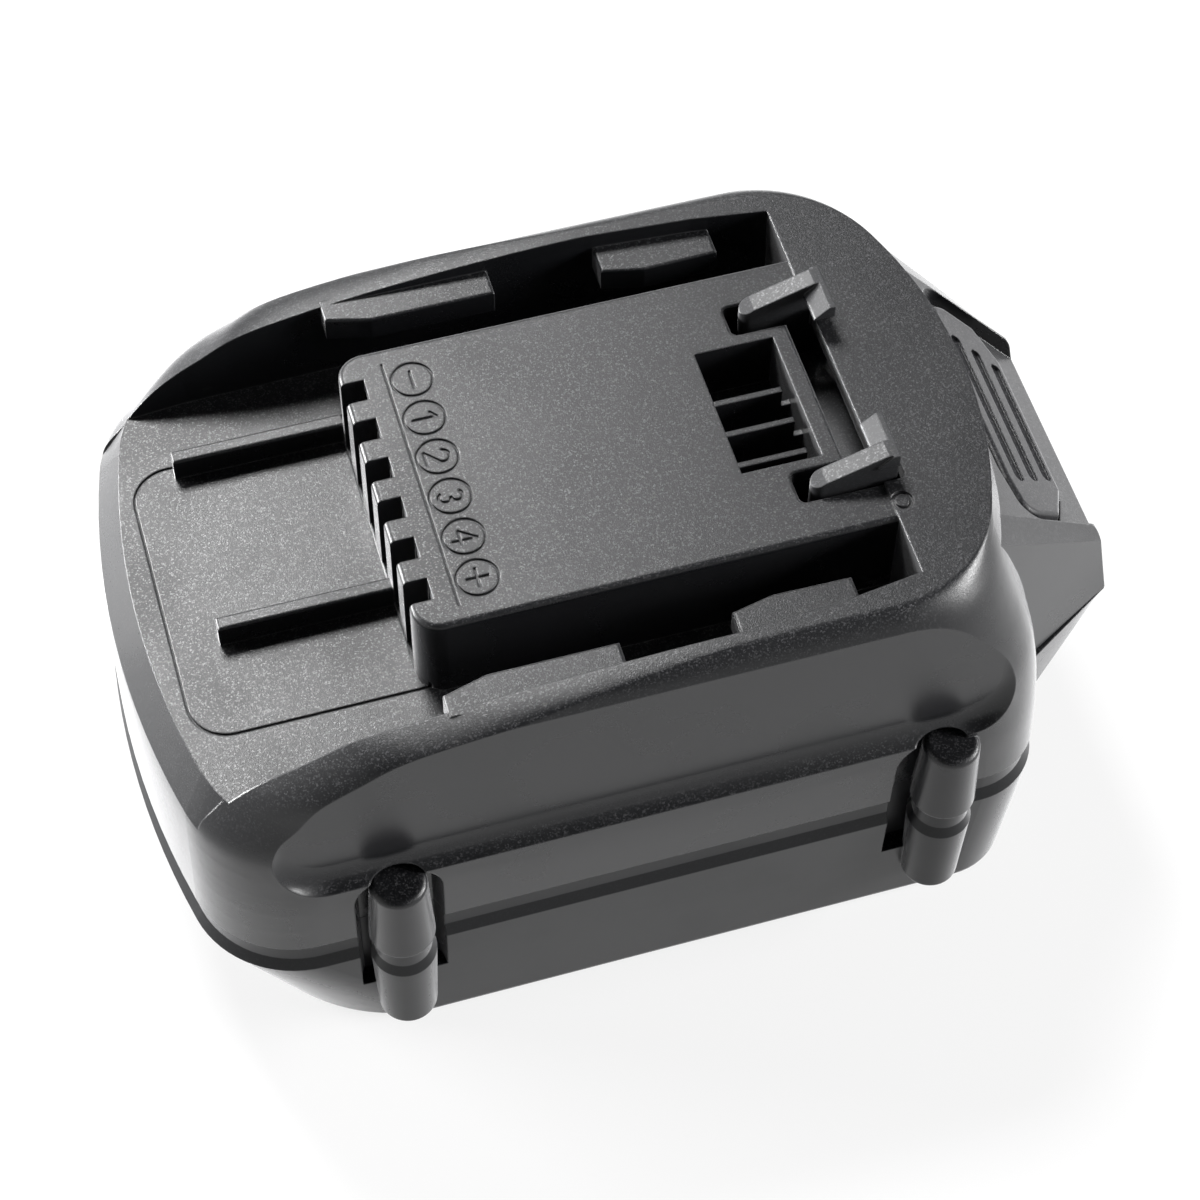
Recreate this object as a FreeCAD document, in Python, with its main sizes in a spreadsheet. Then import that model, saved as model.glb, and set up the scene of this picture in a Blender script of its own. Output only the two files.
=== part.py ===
import FreeCAD, Part
import math
import os
import Sketcher
from FreeCAD import Placement, Rotation, Vector

# Slide-on battery pack for a cordless tool: ten round cells in two layers, lying across the pack.
# Frame: +X towards the release button, +Y to the side with the minus terminal, +Z up.
# The origin is in the middle of the footprint, on the surface that the pack stands on.

DIMENSIONS = {
    # overall heights
    "top_height": 66.0,
    "floor_depth": 13.7,
    "lip_half_width": 29.2,
    "seam_depth": 38.9,
    "neck_depth": 42.2,
    "ledge_depth": 43.9,
    "stop_x": 31.2,
    # shells
    "wall": 2.0,
    "lower_wall": 2.0,
    "deck_plate": 2.2,
    "side_flat_y": 36.1,
    "side_room_y": 34.2,
    "side_cove": 3.4,
    "side_flat_depth": 26.5,
    "side_flat_front": 84.0,
    "side_flat_rear": 13.4,
    "side_flat_corner": 8.5,
    # guide channels and the block between them
    "block_length": 60.0,
    "block_half_width": 21.5,
    "block_step": 0.3,
    "block_corner": 3.5,
    "soft_edge": 0.8,
    "slot_lip": 0.35,
    "channel_stop_y": 29.7,
    "channel_y": 32.0,
    "channel_floor_y": 30.8,
    "tab_depth": 2.2,
    "tab_thickness": 3.6,
    "rail_height": 3.4,
    "rail_width": 2.0,
    "rail_length": 22.0,
    "rail_far_y": 18.7,
    "rail_near_y": -7.7,
    # contact slots and engraved marks
    "slot_pitch": 6.25,
    "slot_width": 3.2,
    "slot_length": 3.0,
    "mark_row": 51.2,
    "mark_line": 54.3,
    "mark_radius": 2.75,
    "stroke": 0.35,
    "engraving": 0.25,
    # window and latch slots in the deck
    "window_front": 16.2,
    "window_rear": 5.8,
    "window_half": 9.7,
    "window_rib_depth": 1.3,
    "window_rib": 0.8,
    "window_rib_y": 2.2,
    "window_rib_pitch": 4.95,
    "well_depth": 10.5,
    "latch_slot_front": 10.6,
    "latch_slot_in": 11.3,
    "latch_slot_out": 15.9,
    "latch_slot_rear": 2.9,
    "cross_slot": 3.5,
    # latch
    "latch_travel": 2.2,
    "hook_in": 12.9,
    "hook_out": 15.4,
    "hook_front": 8.9,
    "hook_tip_x": 0.5,
    "hook_tip": 4.3,
    "hook_toe": 0.7,
    "head_in": 8.6,
    "head_out": 15.7,
    "head_rear": 1.9,
    "head_under": 2.45,
    "latch_plate_top": 9.2,
    "latch_plate": 3.0,
    "latch_arm_top": 16.4,
    "latch_arm": 3.2,
    "latch_arm_half": 10.0,
    "latch_arm_rear": 22.0,
    "spring_x": 5.2,
    "spring_y": 20.6,
    "spring_radius": 2.1,
    "spring_wire": 0.6,
    "spring_turns": 5.0,
    # release button and its housing
    "slope_x": 21.7,
    "slope_depth": 12.0,
    "slope_run": 8.8,
    "slope_fall": 8.4,
    "trough_depth": 3.0,
    "button_rise": -0.9,
    "housing_rear": 33.0,
    "housing_seam": 32.4,
    "housing_gap": 0.3,
    "housing_brow": 3.5,
    "chin_depth": 51.0,
    "shell_gap": 0.1,
    "button_front": 17.75,
    "button_rear": 27.4,
    "button_half": 18.4,
    "button_round": 2.2,
    "groove": 2.0,
    "groove_depth": 1.1,
    "groove_rear_depth": 0.35,
    "button_bottom": 21.0,
    "button_gap": 0.4,
    # screw bosses
    "boss_front": 68.0,
    "boss_rear": 3.6,
    "boss_y": 38.3,
    "boss_top": 26.7,
    "boss_bottom": 57.8,
    "boss_top_radius": 3.6,
    "boss_radius": 4.2,
    "boss_neck": 3.65,
    "boss_foot_radius": 3.75,
    "boss_pocket": 5.6,
    "boss_pocket_arch": 4.0,
    "boss_pocket_shift": 1.4,
    "boss_pocket_foot": 52.0,
    "boss_pocket_end": 2.0,
    "boss_round": 0.9,
    "boss_back_y": 35.4,
    "boss_back": 1.6,
    "screw_radius": 1.48,
    "screw_hole": 1.53,
    "screw_head_radius": 2.4,
    "screw_head": 2.4,
    "screw_sink": 4.0,
    "screw_length": 24.0,
    # cells and what holds them
    "cell_radius": 9.175,
    "cell_length": 65.0,
    "cell_pitch": 18.7,
    "cell_middle": 32.4,
    "cell_low": 53.4,
    "cell_high": 34.5,
    "cell_bore": 9.2,
    "frame_in": 17.5,
    "frame_out": 32.3,
    "frame_front": 80.2,
    "frame_rear": 14.9,
    "frame_top": 24.2,
    "frame_bottom": 62.8,
    "foam": 1.2,
    "post_radius": 2.5,
    "post_y": 21.4,
    "strip": 0.3,
    "side_sheet": 0.4,
    "top_sheet": 0.3,
    # electronics
    "board_top": 18.9,
    "board": 1.6,
    "board_front": 72.0,
    "board_rear": 0.6,
    "board_half": 24.4,
    "carrier_front": 56.4,
    "carrier_rear": 44.0,
    "carrier_half": 18.6,
    "carrier_top": 3.0,
    "contact_leaf": 0.5,
    "contact_gap": 0.8,
}

# Plan outlines of the pack from the deck down to the base. Each row is the depth below the deck, how far
# the front reaches ahead of the channels' stop, the front's radius and corner, the half width, how far the
# rear reaches behind the stop, and the rear's radius and corner.
OUTLINES = {
    "deck": (0.0, 25.1, 400.0, 4.0, 33.2, 15.8, 62.0, 17.0),
    "rim_top": (0.1, 32.3, 400.0, 4.5, 33.8, 15.81, 62.2, 17.0),
    "rim_a": (0.4, 38.9, 400.0, 5.0, 34.4, 15.86, 63.0, 17.0),
    "rim_b": (1.1, 49.3, 400.0, 6.0, 35.2, 15.97, 65.5, 16.8),
    "rim_c": (1.9, 58.0, 300.0, 8.0, 35.8, 16.1, 69.0, 16.5),
    "rim_d": (4.2, 73.1, 200.0, 10.0, 36.95, 16.45, 80.0, 15.8),
    "rim_e": (6.8, 79.5, 150.0, 12.0, 37.55, 16.9, 93.0, 15.0),
    "rim_f": (9.7, 85.8, 120.0, 14.0, 37.95, 17.4, 110.0, 14.0),
    "floor": (13.7, 91.0, 106.0, 17.5, 38.2, 18.1, 145.0, 12.6),
    "lip": (19.0, 94.2, 110.0, 15.5, 38.35, 18.95, 200.0, 11.3),
    "wall": (27.0, 94.7, 113.0, 14.7, 38.35, 19.6, 280.0, 10.3),
    "seam": (38.9, 95.0, 117.0, 14.0, 38.0, 20.0, 400.0, 9.3),
    "neck": (42.2, 94.5, 116.5, 13.5, 37.5, 19.5, 399.5, 8.8),
    "ledge": (43.9, 95.4, 117.4, 14.4, 38.3, 20.3, 400.3, 9.6),
    "base": (66.0, 87.2, 300.0, 24.0, 37.2, 18.6, 400.0, 9.0),
}
OUTLINE_PARTS = ("depth", "front", "bow", "corner", "half", "rear", "rear_bow", "rear_corner")
SHOULDER_STEPS = 30
BRINK_STEPS = 5


class Size:
    """A length that carries its value and the text that binds it to the sheet."""

    def __init__(self, value, text=None):
        self.value = float(value)
        self.text = text if text is not None else repr(float(value))

    def __float__(self):
        return self.value

    def joined(self, other, sign, result):
        other = other if isinstance(other, Size) else Size(other)
        return Size(result, f"({self.text} {sign} {other.text})")

    def __add__(self, other):
        return self.joined(other, "+", self.value + float(other))

    def __radd__(self, other):
        return Size(other) + self

    def __sub__(self, other):
        return self.joined(other, "-", self.value - float(other))

    def __rsub__(self, other):
        return Size(other) - self

    def __mul__(self, other):
        return self.joined(other, "*", self.value * float(other))

    def __rmul__(self, other):
        return Size(other) * self

    def __truediv__(self, other):
        return self.joined(other, "/", self.value / float(other))

    def __neg__(self):
        return Size(-self.value, f"(-1 * {self.text})")


doc = FreeCAD.newDocument("battery_pack")
sheet = doc.addObject("Spreadsheet::Sheet", "sizes")
rows = dict(DIMENSIONS)
for outline, values in OUTLINES.items():
    for part, value in zip(OUTLINE_PARTS, values):
        rows[f"{outline}_{part}"] = value
for row, (alias, value) in enumerate(rows.items(), start=1):
    sheet.set(f"A{row}", alias)
    sheet.set(f"B{row}", str(value))
    sheet.setAlias(f"B{row}", alias)
doc.recompute()
size = {alias: Size(sheet.get(alias), f"sizes.{alias}") for alias in rows}
top = size["top_height"]
stop_x = size["stop_x"]
subparts = []


def ahead(length):
    """Place on X of something that lies this far ahead of the channels' stop."""
    return stop_x - length


def behind(length):
    """Place on X of something that lies this far behind the channels' stop."""
    return stop_x + length


def below(depth):
    """Height of something that lies this deep below the deck."""
    return top - depth


def bind(item, prop, length):
    """Set one property of an object, bound to the sheet where the length comes from it."""
    if isinstance(length, Size):
        item.setExpression(prop, length.text)
    else:
        setattr(item, prop, length)


def keep(item, label):
    """Name a finished sub-part."""
    item.Label = label
    subparts.append(item)
    return item


def box(name, low, high):
    """A box between two corners."""
    item = doc.addObject("Part::Box", name)
    for prop, a, b in zip(("Length", "Width", "Height"), low, high):
        bind(item, prop, (b if isinstance(b, Size) else Size(b)) - a)
    for axis, a in zip("xyz", low):
        item.setExpression(f"Placement.Base.{axis}", (a if isinstance(a, Size) else Size(a)).text)
    return item


def fused(name, items):
    item = doc.addObject("Part::MultiFuse", name)
    item.Shapes = items
    return item


def without(name, base, tool):
    item = doc.addObject("Part::Cut", name)
    item.Base = base
    item.Tool = tool
    return item


def origin_plane(body, role):
    return [item for item in body.Origin.OriginFeatures if item.Role == role][0]


def outline_sketch(body, name, role, offset, corners, circles=()):
    """A closed polygon, and round holes in it, on one of the body's origin planes."""
    sketch = body.newObject("Sketcher::SketchObject", name)
    sketch.AttachmentSupport = [(origin_plane(body, role), "")]
    sketch.MapMode = "FlatFace"
    sketch.setExpression("AttachmentOffset.Base.z", (Size(0) + offset).text)
    points = [Vector(float(x), float(y), 0) for x, y in corners]
    count = len(points)
    for i in range(count):
        sketch.addGeometry(Part.LineSegment(points[i], points[(i + 1) % count]))
    for i in range(count):
        sketch.addConstraint(Sketcher.Constraint("Coincident", i, 2, (i + 1) % count, 1))
    for i, (x, y) in enumerate(corners):
        pin_point(sketch, i, 1, f"corner{i}", x, y)
    for i, (x, y, radius) in enumerate(circles):
        centre = Vector(float(x), float(y), 0)
        edge = sketch.addGeometry(Part.Circle(centre, Vector(0, 0, 1), float(radius)))
        pin_point(sketch, edge, 3, f"hole{i}", x, y)
        held = sketch.addConstraint(Sketcher.Constraint("Radius", edge, float(radius)))
        sketch.renameConstraint(held, f"hole{i}_radius")
        sketch.setExpression(f"Constraints.hole{i}_radius", (Size(0) + radius).text)
    return sketch


def pin_point(sketch, edge, point, name, x, y):
    """Hold one point of a sketch at a place bound to the sheet."""
    for axis, kind, value in (("x", "DistanceX", x), ("y", "DistanceY", y)):
        held = sketch.addConstraint(Sketcher.Constraint(kind, -1, 1, edge, point, float(value)))
        sketch.renameConstraint(held, f"{name}_{axis}")
        sketch.setExpression(f"Constraints.{name}_{axis}", (Size(0) + value).text)


def padded(label, role, offset, corners, length, circles=()):
    """A body with one pad of a closed polygon."""
    body = doc.addObject("PartDesign::Body", label)
    sketch = outline_sketch(body, f"{label}_outline", role, offset, corners, circles)
    pad = body.newObject("PartDesign::Pad", f"{label}_pad")
    pad.Profile = sketch
    bind(pad, "Length", length)
    doc.recompute()
    return body


def turned(label, corners, place, rotation=None):
    """A body turned from half of its section, whose axis is the sketch's upright line."""
    body = doc.addObject("PartDesign::Body", label)
    sketch = outline_sketch(body, f"{label}_section", "XZ_Plane", 0, corners)
    turn = body.newObject("PartDesign::Revolution", f"{label}_turn")
    turn.Profile = sketch
    turn.ReferenceAxis = (sketch, ["V_Axis"])
    turn.Angle = 360
    if rotation is not None:
        body.Placement = Placement(Vector(0, 0, 0), rotation)
    for axis, value in zip("xyz", place):
        body.setExpression(f"Placement.Base.{axis}", (Size(0) + value).text)
    doc.recompute()
    return body


def number(alias):
    return size[alias].value


# Plan outlines and lofts of the shells

def plan_wire(depth, front, bow, corner, half, rear, rear_bow, rear_corner, inset=0.0):
    """Closed wire of a plan outline: a bowed front and rear, straight sides and round corners."""
    front = number("stop_x") - front + inset
    rear = number("stop_x") + rear - inset
    half = half - inset
    level = number("top_height") - depth
    bow = bow - inset
    rear_bow = rear_bow - inset
    corner = max(corner - inset, 1.0)
    rear_corner = max(rear_corner - inset, 1.0)
    ends = []
    for end, radius, small, way in ((front, bow, corner, 1), (rear, rear_bow, rear_corner, -1)):
        hub = Vector(end + way * radius, 0, level)
        side = half - small
        along = math.sqrt((radius - small) ** 2 - side ** 2)
        centre = Vector(hub.x - way * along, side, level)
        touch = hub + (centre - hub) * (radius / (radius - small))
        outward = (touch - centre).normalize() + Vector(0, 1, 0)
        middle = centre + outward.normalize() * small
        ends.append((Vector(end, 0, level), touch, middle, Vector(centre.x, half, level)))
    (nose, nose_touch, nose_mid, nose_side), (tail, tail_touch, tail_mid, tail_side) = ends

    def mirrored(point):
        return Vector(point.x, -point.y, point.z)

    edges = [
        Part.Arc(mirrored(nose_touch), nose, nose_touch).toShape(),
        Part.Arc(nose_touch, nose_mid, nose_side).toShape(),
        Part.LineSegment(nose_side, tail_side).toShape(),
        Part.Arc(tail_side, tail_mid, tail_touch).toShape(),
        Part.Arc(tail_touch, tail, mirrored(tail_touch)).toShape(),
        Part.Arc(mirrored(tail_touch), mirrored(tail_mid), mirrored(tail_side)).toShape(),
        Part.LineSegment(mirrored(tail_side), mirrored(nose_side)).toShape(),
        Part.Arc(mirrored(nose_side), mirrored(nose_mid), mirrored(nose_touch)).toShape(),
    ]
    return Part.Wire(edges)


def outline_row(name):
    """The sizes of one named outline, its depth first."""
    return [number(f"{name}_{part}") for part in OUTLINE_PARTS]


def plan_outline(name, inset=0.0, depth=None):
    """One named outline, or the same outline at another depth."""
    own_depth, *sizes = outline_row(name)
    return plan_wire(own_depth if depth is None else depth, *sizes, inset=inset)


def gentle_slopes(places, values):
    """Slopes at the knots of a curve that never swings past its knots."""
    steps = [(b - a) / (q - p) for a, b, p, q in zip(values, values[1:], places, places[1:])]
    slopes = [steps[0]]
    for before, after in zip(steps, steps[1:]):
        slopes.append(0.0 if before * after <= 0 else 2 * before * after / (before + after))
    return slopes + [steps[-1]]


def shoulder_outlines(names, count, inset=0.0):
    """Outlines at many depths between the named ones, close together where the shoulder is round."""
    rows = [outline_row(name) for name in names]
    places = [math.sqrt(row[0]) for row in rows]
    columns = [[row[i] for row in rows] for i in range(1, len(OUTLINE_PARTS))]
    slopes = [gentle_slopes(places, column) for column in columns]
    wires = []
    for step in range(count + 1):
        place = places[0] + (places[-1] - places[0]) * step / count
        k = max(i for i in range(len(places) - 1) if places[i] <= place + 1e-9)
        span = places[k + 1] - places[k]
        t = (place - places[k]) / span
        sizes = []
        for column, slope in zip(columns, slopes):
            rise = column[k] * (1 + 2 * t) * (1 - t) ** 2 + column[k + 1] * (3 - 2 * t) * t ** 2
            sizes.append(rise + span * t * (1 - t) * (slope[k] * (1 - t) - slope[k + 1] * t))
        wires.append(plan_wire(place ** 2, *sizes, inset=inset))
    return wires


def lofted(wires, ruled=True):
    return Part.makeLoft(wires, True, ruled)


def block_of(low, high):
    """Plain box between two corners given in millimetres."""
    corner = Vector(*low)
    return Part.makeBox(high[0] - low[0], high[1] - low[1], high[2] - low[2], corner)


def prism(points, direction):
    """Straight extrusion of a closed polygon."""
    wire = Part.makePolygon(list(points) + [points[0]])
    return Part.Face(wire).extrude(direction)


def grown(points, gap):
    """Closed convex outline with every side moved outward by a gap."""
    count = len(points)
    turn = sum(points[i - 1][0] * points[i][1] - points[i][0] * points[i - 1][1] for i in range(count))
    way = 1 if turn > 0 else -1
    result = []
    for i in range(count):
        sides = [Vector(*points[i], 0) - Vector(*points[i - 1], 0),
                 Vector(*points[(i + 1) % count], 0) - Vector(*points[i], 0)]
        before, after = [Vector(way * side.y, -way * side.x, 0).normalize() for side in sides]
        moved = Vector(*points[i], 0) + (before + after) * (gap / (1 + before.dot(after)))
        result.append((moved.x, moved.y))
    return result


def x_ahead(length):
    return number("stop_x") - length


def x_behind(length):
    return number("stop_x") + length


def z_below(depth):
    return number("top_height") - depth


def both_sides(maker):
    """The same piece made on the far side and on the near side."""
    return [maker(1), maker(-1)]


def slope_depth_at(reach):
    """Depth of the sloping roof of the button housing, this far behind the stop."""
    fall = number("slope_fall") / number("slope_run")
    return number("slope_depth") + fall * (reach - number("slope_x"))


def channel_cut():
    """Space of the two guide channels and of the open floor ahead of the block, with sloping outer walls."""
    def ring(level, y_stop, y_side):
        reach = 110.0
        points = [(0.0, y_stop), (10.0, y_stop + 0.6 * (y_side - y_stop)), (24.0, y_side), (60.0, y_side)]
        points += [(78.0, y_side - 0.3), (reach, y_side - 3.2)]
        far = [Vector(x_ahead(x), y, level) for x, y in points]
        near = [Vector(p.x, -p.y, p.z) for p in reversed(far)]
        return Part.makePolygon(far + near + [far[0]])
    floor = z_below(number("floor_depth"))
    narrow = number("channel_y") - number("channel_floor_y")
    slope = narrow / number("floor_depth")
    over = 3.0
    low = ring(floor, number("channel_stop_y") - narrow, number("channel_floor_y"))
    high = ring(z_below(-over), number("channel_stop_y") + slope * over, number("channel_y") + slope * over)
    return lofted([low, high])


def upright_edges(solid, test):
    """Upright edges of a solid whose middle passes the test."""
    return [e for e in solid.Edges if abs(e.tangentAt(e.FirstParameter).z) > 0.99 and test(e.CenterOfMass)]


def level_edges(solid, level, test):
    """Edges of a solid that lie at one level and whose middle passes the test."""
    return [e for e in solid.Edges
            if abs(e.BoundBox.ZMin - level) < 1e-4 and abs(e.BoundBox.ZMax - level) < 1e-4
            and test(e.CenterOfMass)]


def block_shape():
    """The block between the channels, with a round edge along its sides and front."""
    half = number("block_half_width")
    front = x_ahead(number("block_length"))
    level = z_below(number("block_step"))
    solid = block_of((front, -half, z_below(number("floor_depth") + 1)), (x_ahead(0), half, level))
    solid = solid.makeFillet(number("block_corner"), upright_edges(solid, lambda c: c.x < front + 1))
    return solid.makeFillet(number("soft_edge"), level_edges(solid, level, lambda c: c.x < x_ahead(0) - 0.1))


def side_flat(side):
    """Tool that flattens one side of the upper shell above a soft ledge."""
    y = number("side_flat_y")
    low = z_below(number("side_flat_depth"))
    tool = block_of((x_ahead(number("side_flat_front")), y, low),
                    (x_behind(number("side_flat_rear")), y + 12, z_below(-4)))
    bottom_corners = [
        e for e in tool.Edges
        if abs(e.tangentAt(e.FirstParameter).y) > 0.9 and abs(e.CenterOfMass.z - low) < 0.1
    ]
    tool = tool.makeFillet(number("side_flat_corner"), bottom_corners)
    inner = [
        e for e in tool.Edges
        if abs(e.CenterOfMass.y - y) < 0.01 and e.CenterOfMass.z < z_below(0)
    ]
    tool = tool.makeFillet(number("side_cove"), inner)
    return tool if side > 0 else tool.mirror(Vector(0, 0, 0), Vector(0, 1, 0))


def boss_axis_points():
    """Places of the four screws in plan."""
    places = []
    for x in (x_ahead(number("boss_front")), x_behind(number("boss_rear"))):
        for side in (1, -1):
            places.append((x, side * number("boss_y"), side))
    return places


def cone_between(x, y, depth_a, radius_a, depth_b, radius_b):
    """Round piece on an upright axis, from a deeper level up to a shallower one."""
    low = Vector(x, y, z_below(depth_a))
    height = depth_a - depth_b
    if abs(radius_a - radius_b) < 1e-6:
        return Part.makeCylinder(radius_a, height, low)
    return Part.makeCone(radius_a, radius_b, height, low)


def pocket_middle(x):
    """Place on X of the middle of a boss's pocket: the rear ones lie a little nearer the pack's middle."""
    return x - number("boss_pocket_shift") if x > number("stop_x") else x


def boss_pocket(x, y, side, depth_a, depth_b, domed):
    """Upright round pocket in the wall round a screw boss. A rear boss closes the rear of its own pocket."""
    middle = pocket_middle(x)
    radius = number("boss_pocket")
    back = number("boss_back_y")
    pocket = Part.makeCylinder(radius, depth_a - depth_b, Vector(middle, y, z_below(depth_a)))
    if domed:
        pocket = pocket.fuse(Part.makeSphere(radius, Vector(middle, y, z_below(depth_b))))
    low_y, high_y = sorted((side * back, side * (back + 2 * radius)))
    rear = x + (2 * radius if middle == x else number("boss_pocket_end"))
    keep_box = block_of((x - 2 * radius, low_y, z_below(depth_a)),
                        (rear, high_y, z_below(depth_b) + 2 * radius))
    return pocket.common(keep_box)


def pocket_backing(x, side, low_z):
    """Block that keeps the wall whole behind one boss's pocket."""
    middle = pocket_middle(x)
    half = number("boss_pocket") + number("wall")
    low_y, high_y = sorted((side * (number("boss_back_y") - number("boss_back")), side * 45.0))
    return block_of((middle - half, low_y, low_z), (middle + half, high_y, 100))


def upper_outside(inset=0.0):
    """Outside of the upper shell: deck, swept rims, round shoulders and upright walls, without the housing."""
    brink = shoulder_outlines(["deck", "rim_top", "rim_a"], BRINK_STEPS, inset)
    names = ["rim_a", "rim_b", "rim_c", "rim_d", "rim_e", "rim_f", "floor", "lip", "wall", "seam"]
    shoulder = shoulder_outlines(names, SHOULDER_STEPS, inset)
    walls = lofted(list(reversed(shoulder)), ruled=False)
    return walls.fuse(lofted(list(reversed(brink))))


def front_lip_cut():
    """What the flat sloping lip takes off the round shoulder ahead of the floor."""
    half = number("lip_half_width")
    high = z_below(number("floor_depth") - 1.0)
    zone = block_of((x_ahead(110.0), -half, z_below(number("lip_depth"))), (x_ahead(75.0), half, high))
    zone = zone.makeFillet(4.0, upright_edges(zone, lambda c: c.x > x_ahead(76.0)))
    return zone.cut(lofted([plan_outline("lip"), plan_outline("floor")]))


def housing_section(reach, half_roof, half_crease, crease_depth, half_seam, seam_depth):
    """Cross-section of the button housing in a plane across the pack."""
    x = x_behind(reach)
    roof = z_below(slope_depth_at(reach))
    points = [
        Vector(x, half_roof, roof),
        Vector(x, half_crease, z_below(crease_depth)),
        Vector(x, half_seam, z_below(seam_depth)),
        Vector(x, -half_seam, z_below(seam_depth)),
        Vector(x, -half_crease, z_below(crease_depth)),
        Vector(x, -half_roof, roof),
    ]
    return Part.makePolygon(points + [points[0]])


def trough_cut():
    """Space of the trough that the button lies in: upright walls over a floor below the cheeks' slope."""
    half_plan = [(16.95, 12.5), (18.3, 20.2), (37.5, 13.4)]
    plan = half_plan + [(x, -y) for x, y in reversed(half_plan)]
    low = z_below(45.0)
    column = prism([Vector(x_behind(x), y, low) for x, y in plan], Vector(0, 0, 60.0))
    corners = upright_edges(column, lambda c: c.x < x_behind(19.0) and abs(c.y) > 18.0)
    column = column.makeFillet(number("button_round") + number("button_gap"), corners)
    over = 30.0
    deep = number("trough_depth")
    ends = (14.0, 40.0)
    side = [(x, slope_depth_at(x) + deep) for x in ends] + [(x, -over) for x in reversed(ends)]
    wedge = prism([Vector(x_behind(x), -30.0, z_below(depth)) for x, depth in side], Vector(0, 60.0, 0))
    return column.common(wedge)


def housing_outside():
    """Outside of the button housing above its own seam, with the trough for the button."""
    seam = number("housing_seam")
    rear = number("housing_rear")
    body = lofted([
        housing_section(10.0, 22.9, 27.3, 2.0, 31.0, seam),
        housing_section(rear, 15.4, 16.7, 23.9, 18.2, seam),
    ])
    lean = [
        Vector(x_behind(rear + 0.01), -40, z_below(seam + 0.01)),
        Vector(x_behind(rear - 2.2), -40, z_below(20.0)),
        Vector(x_behind(rear - 3.6), -40, z_below(12.0)),
        Vector(x_behind(rear + 8), -40, z_below(12.0)),
        Vector(x_behind(rear + 8), -40, z_below(seam + 0.01)),
    ]
    body = body.cut(prism(lean, Vector(0, 80, 0)))
    brow = [e for e in body.Edges if abs(e.tangentAt(e.FirstParameter).y) > 0.99
            and e.CenterOfMass.x > x_behind(rear - 4.0) and e.CenterOfMass.z > z_below(seam - 5.0)]
    body = body.makeFillet(number("housing_brow"), brow)
    return body.cut(trough_cut())


def housing_room(high_depth, low_depth):
    """Hollow inside the button housing, between two depths."""
    points = [(19.8, 21.0), (30.6, 14.6), (30.6, -14.6), (19.8, -21.0)]
    base = z_below(low_depth)
    return prism([Vector(x_behind(x), y, base) for x, y in points], Vector(0, 0, low_depth - high_depth))


def button_plan(gap, low_depth, high_depth):
    """Upright prism with the plan of the button, grown by a gap."""
    front = number("button_front")
    rear = number("button_rear")
    half_plan = [(front, 12.5), (front + 1.04, number("button_half")), (rear - 2.4, 16.2), (rear, 11.0)]
    plan = grown(half_plan + [(x, -y) for x, y in reversed(half_plan)], gap)
    base = z_below(low_depth)
    column = prism([Vector(x_behind(x), y, base) for x, y in plan], Vector(0, 0, low_depth - high_depth))
    corners = upright_edges(column, lambda c: c.x < x_behind(front + 2.0) and abs(c.y) > 18.0)
    return column.makeFillet(number("button_round") + gap, corners)


def tabs(side):
    """The two guide tabs on one channel's outer wall."""
    level = z_below(number("tab_depth") + number("tab_thickness"))
    up = Vector(0, 0, number("tab_thickness"))
    wall_y = number("channel_y") + 0.6
    shapes = []
    for outline in (
        ((59.2, wall_y), (59.2, 29.4), (53.5, 27.9), (37.2, 27.9), (37.2, wall_y)),
        ((23.1, wall_y), (23.1, 27.55), (17.6, 26.4), (7.7, 26.6), (7.7, wall_y)),
    ):
        tab = prism([Vector(x_ahead(x), side * y, level) for x, y in outline], up)
        free = level_edges(tab, level + up.z, lambda c: abs(c.y) < wall_y - 0.1)
        shapes.append(tab.makeFillet(number("soft_edge") / 2, free))
    return shapes


def ring_cut(x, y, radius, width, level, depth):
    outer = Part.makeCylinder(radius, depth + 1, Vector(x, y, level - depth))
    return outer.cut(Part.makeCylinder(radius - width, depth + 1, Vector(x, y, level - depth)))


def stroke_cut(start, end, width, level, depth):
    """Straight engraved stroke between two points of the deck."""
    a = Vector(start[0], start[1], level - depth)
    b = Vector(end[0], end[1], level - depth)
    along = (b - a).normalize() * (width / 2)
    across = Vector(-along.y, along.x, 0)
    points = [a - along - across, b + along - across, b + along + across, a - along + across]
    return prism(points, Vector(0, 0, depth + 1))


def arc_cut(x, y, radius, start, sweep, width, level, depth):
    """Round engraved stroke: part of a ring about one point."""
    low = Vector(x, y, level - depth)
    ring = Part.makeCylinder(radius + width / 2, depth + 1, low, Vector(0, 0, 1), sweep)
    ring = ring.cut(Part.makeCylinder(radius - width / 2, depth + 1, low))
    ring.rotate(Vector(x, y, 0), Vector(0, 0, 1), start)
    return ring


def mark_strokes(mark, x, y, level):
    """One engraved mark, upright for a reader who stands ahead of the pack."""
    width = number("stroke")
    depth = number("engraving")

    def at(right, up):
        return (x + up, y - right)

    def line(a, b):
        return stroke_cut(at(*a), at(*b), width, level, depth)

    def bend(right, up, radius, start, sweep):
        cx, cy = at(right, up)
        return arc_cut(cx, cy, radius, start - 90.0, sweep, width, level, depth)
    strokes = {
        "minus": [line((-1.3, 0), (1.3, 0))],
        "plus": [line((-1.3, 0), (1.3, 0)), line((0, -1.3), (0, 1.3))],
        "one": [line((0.1, -1.5), (0.1, 1.5)), line((-0.7, 0.8), (0.1, 1.5))],
        "two": [
            bend(0, 0.6, 0.9, -30, 210),
            line((0.72, 0.1), (-0.9, -1.5)),
            line((-0.9, -1.5), (0.95, -1.5)),
        ],
        "three": [bend(0, 0.75, 0.75, -90, 240), bend(0, -0.75, 0.75, -150, 240)],
        "four": [
            line((0.5, -1.5), (0.5, 1.5)),
            line((0.5, 1.5), (-0.9, -0.5)),
            line((-0.9, -0.5), (1.0, -0.5)),
        ],
    }
    return strokes[mark]


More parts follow.
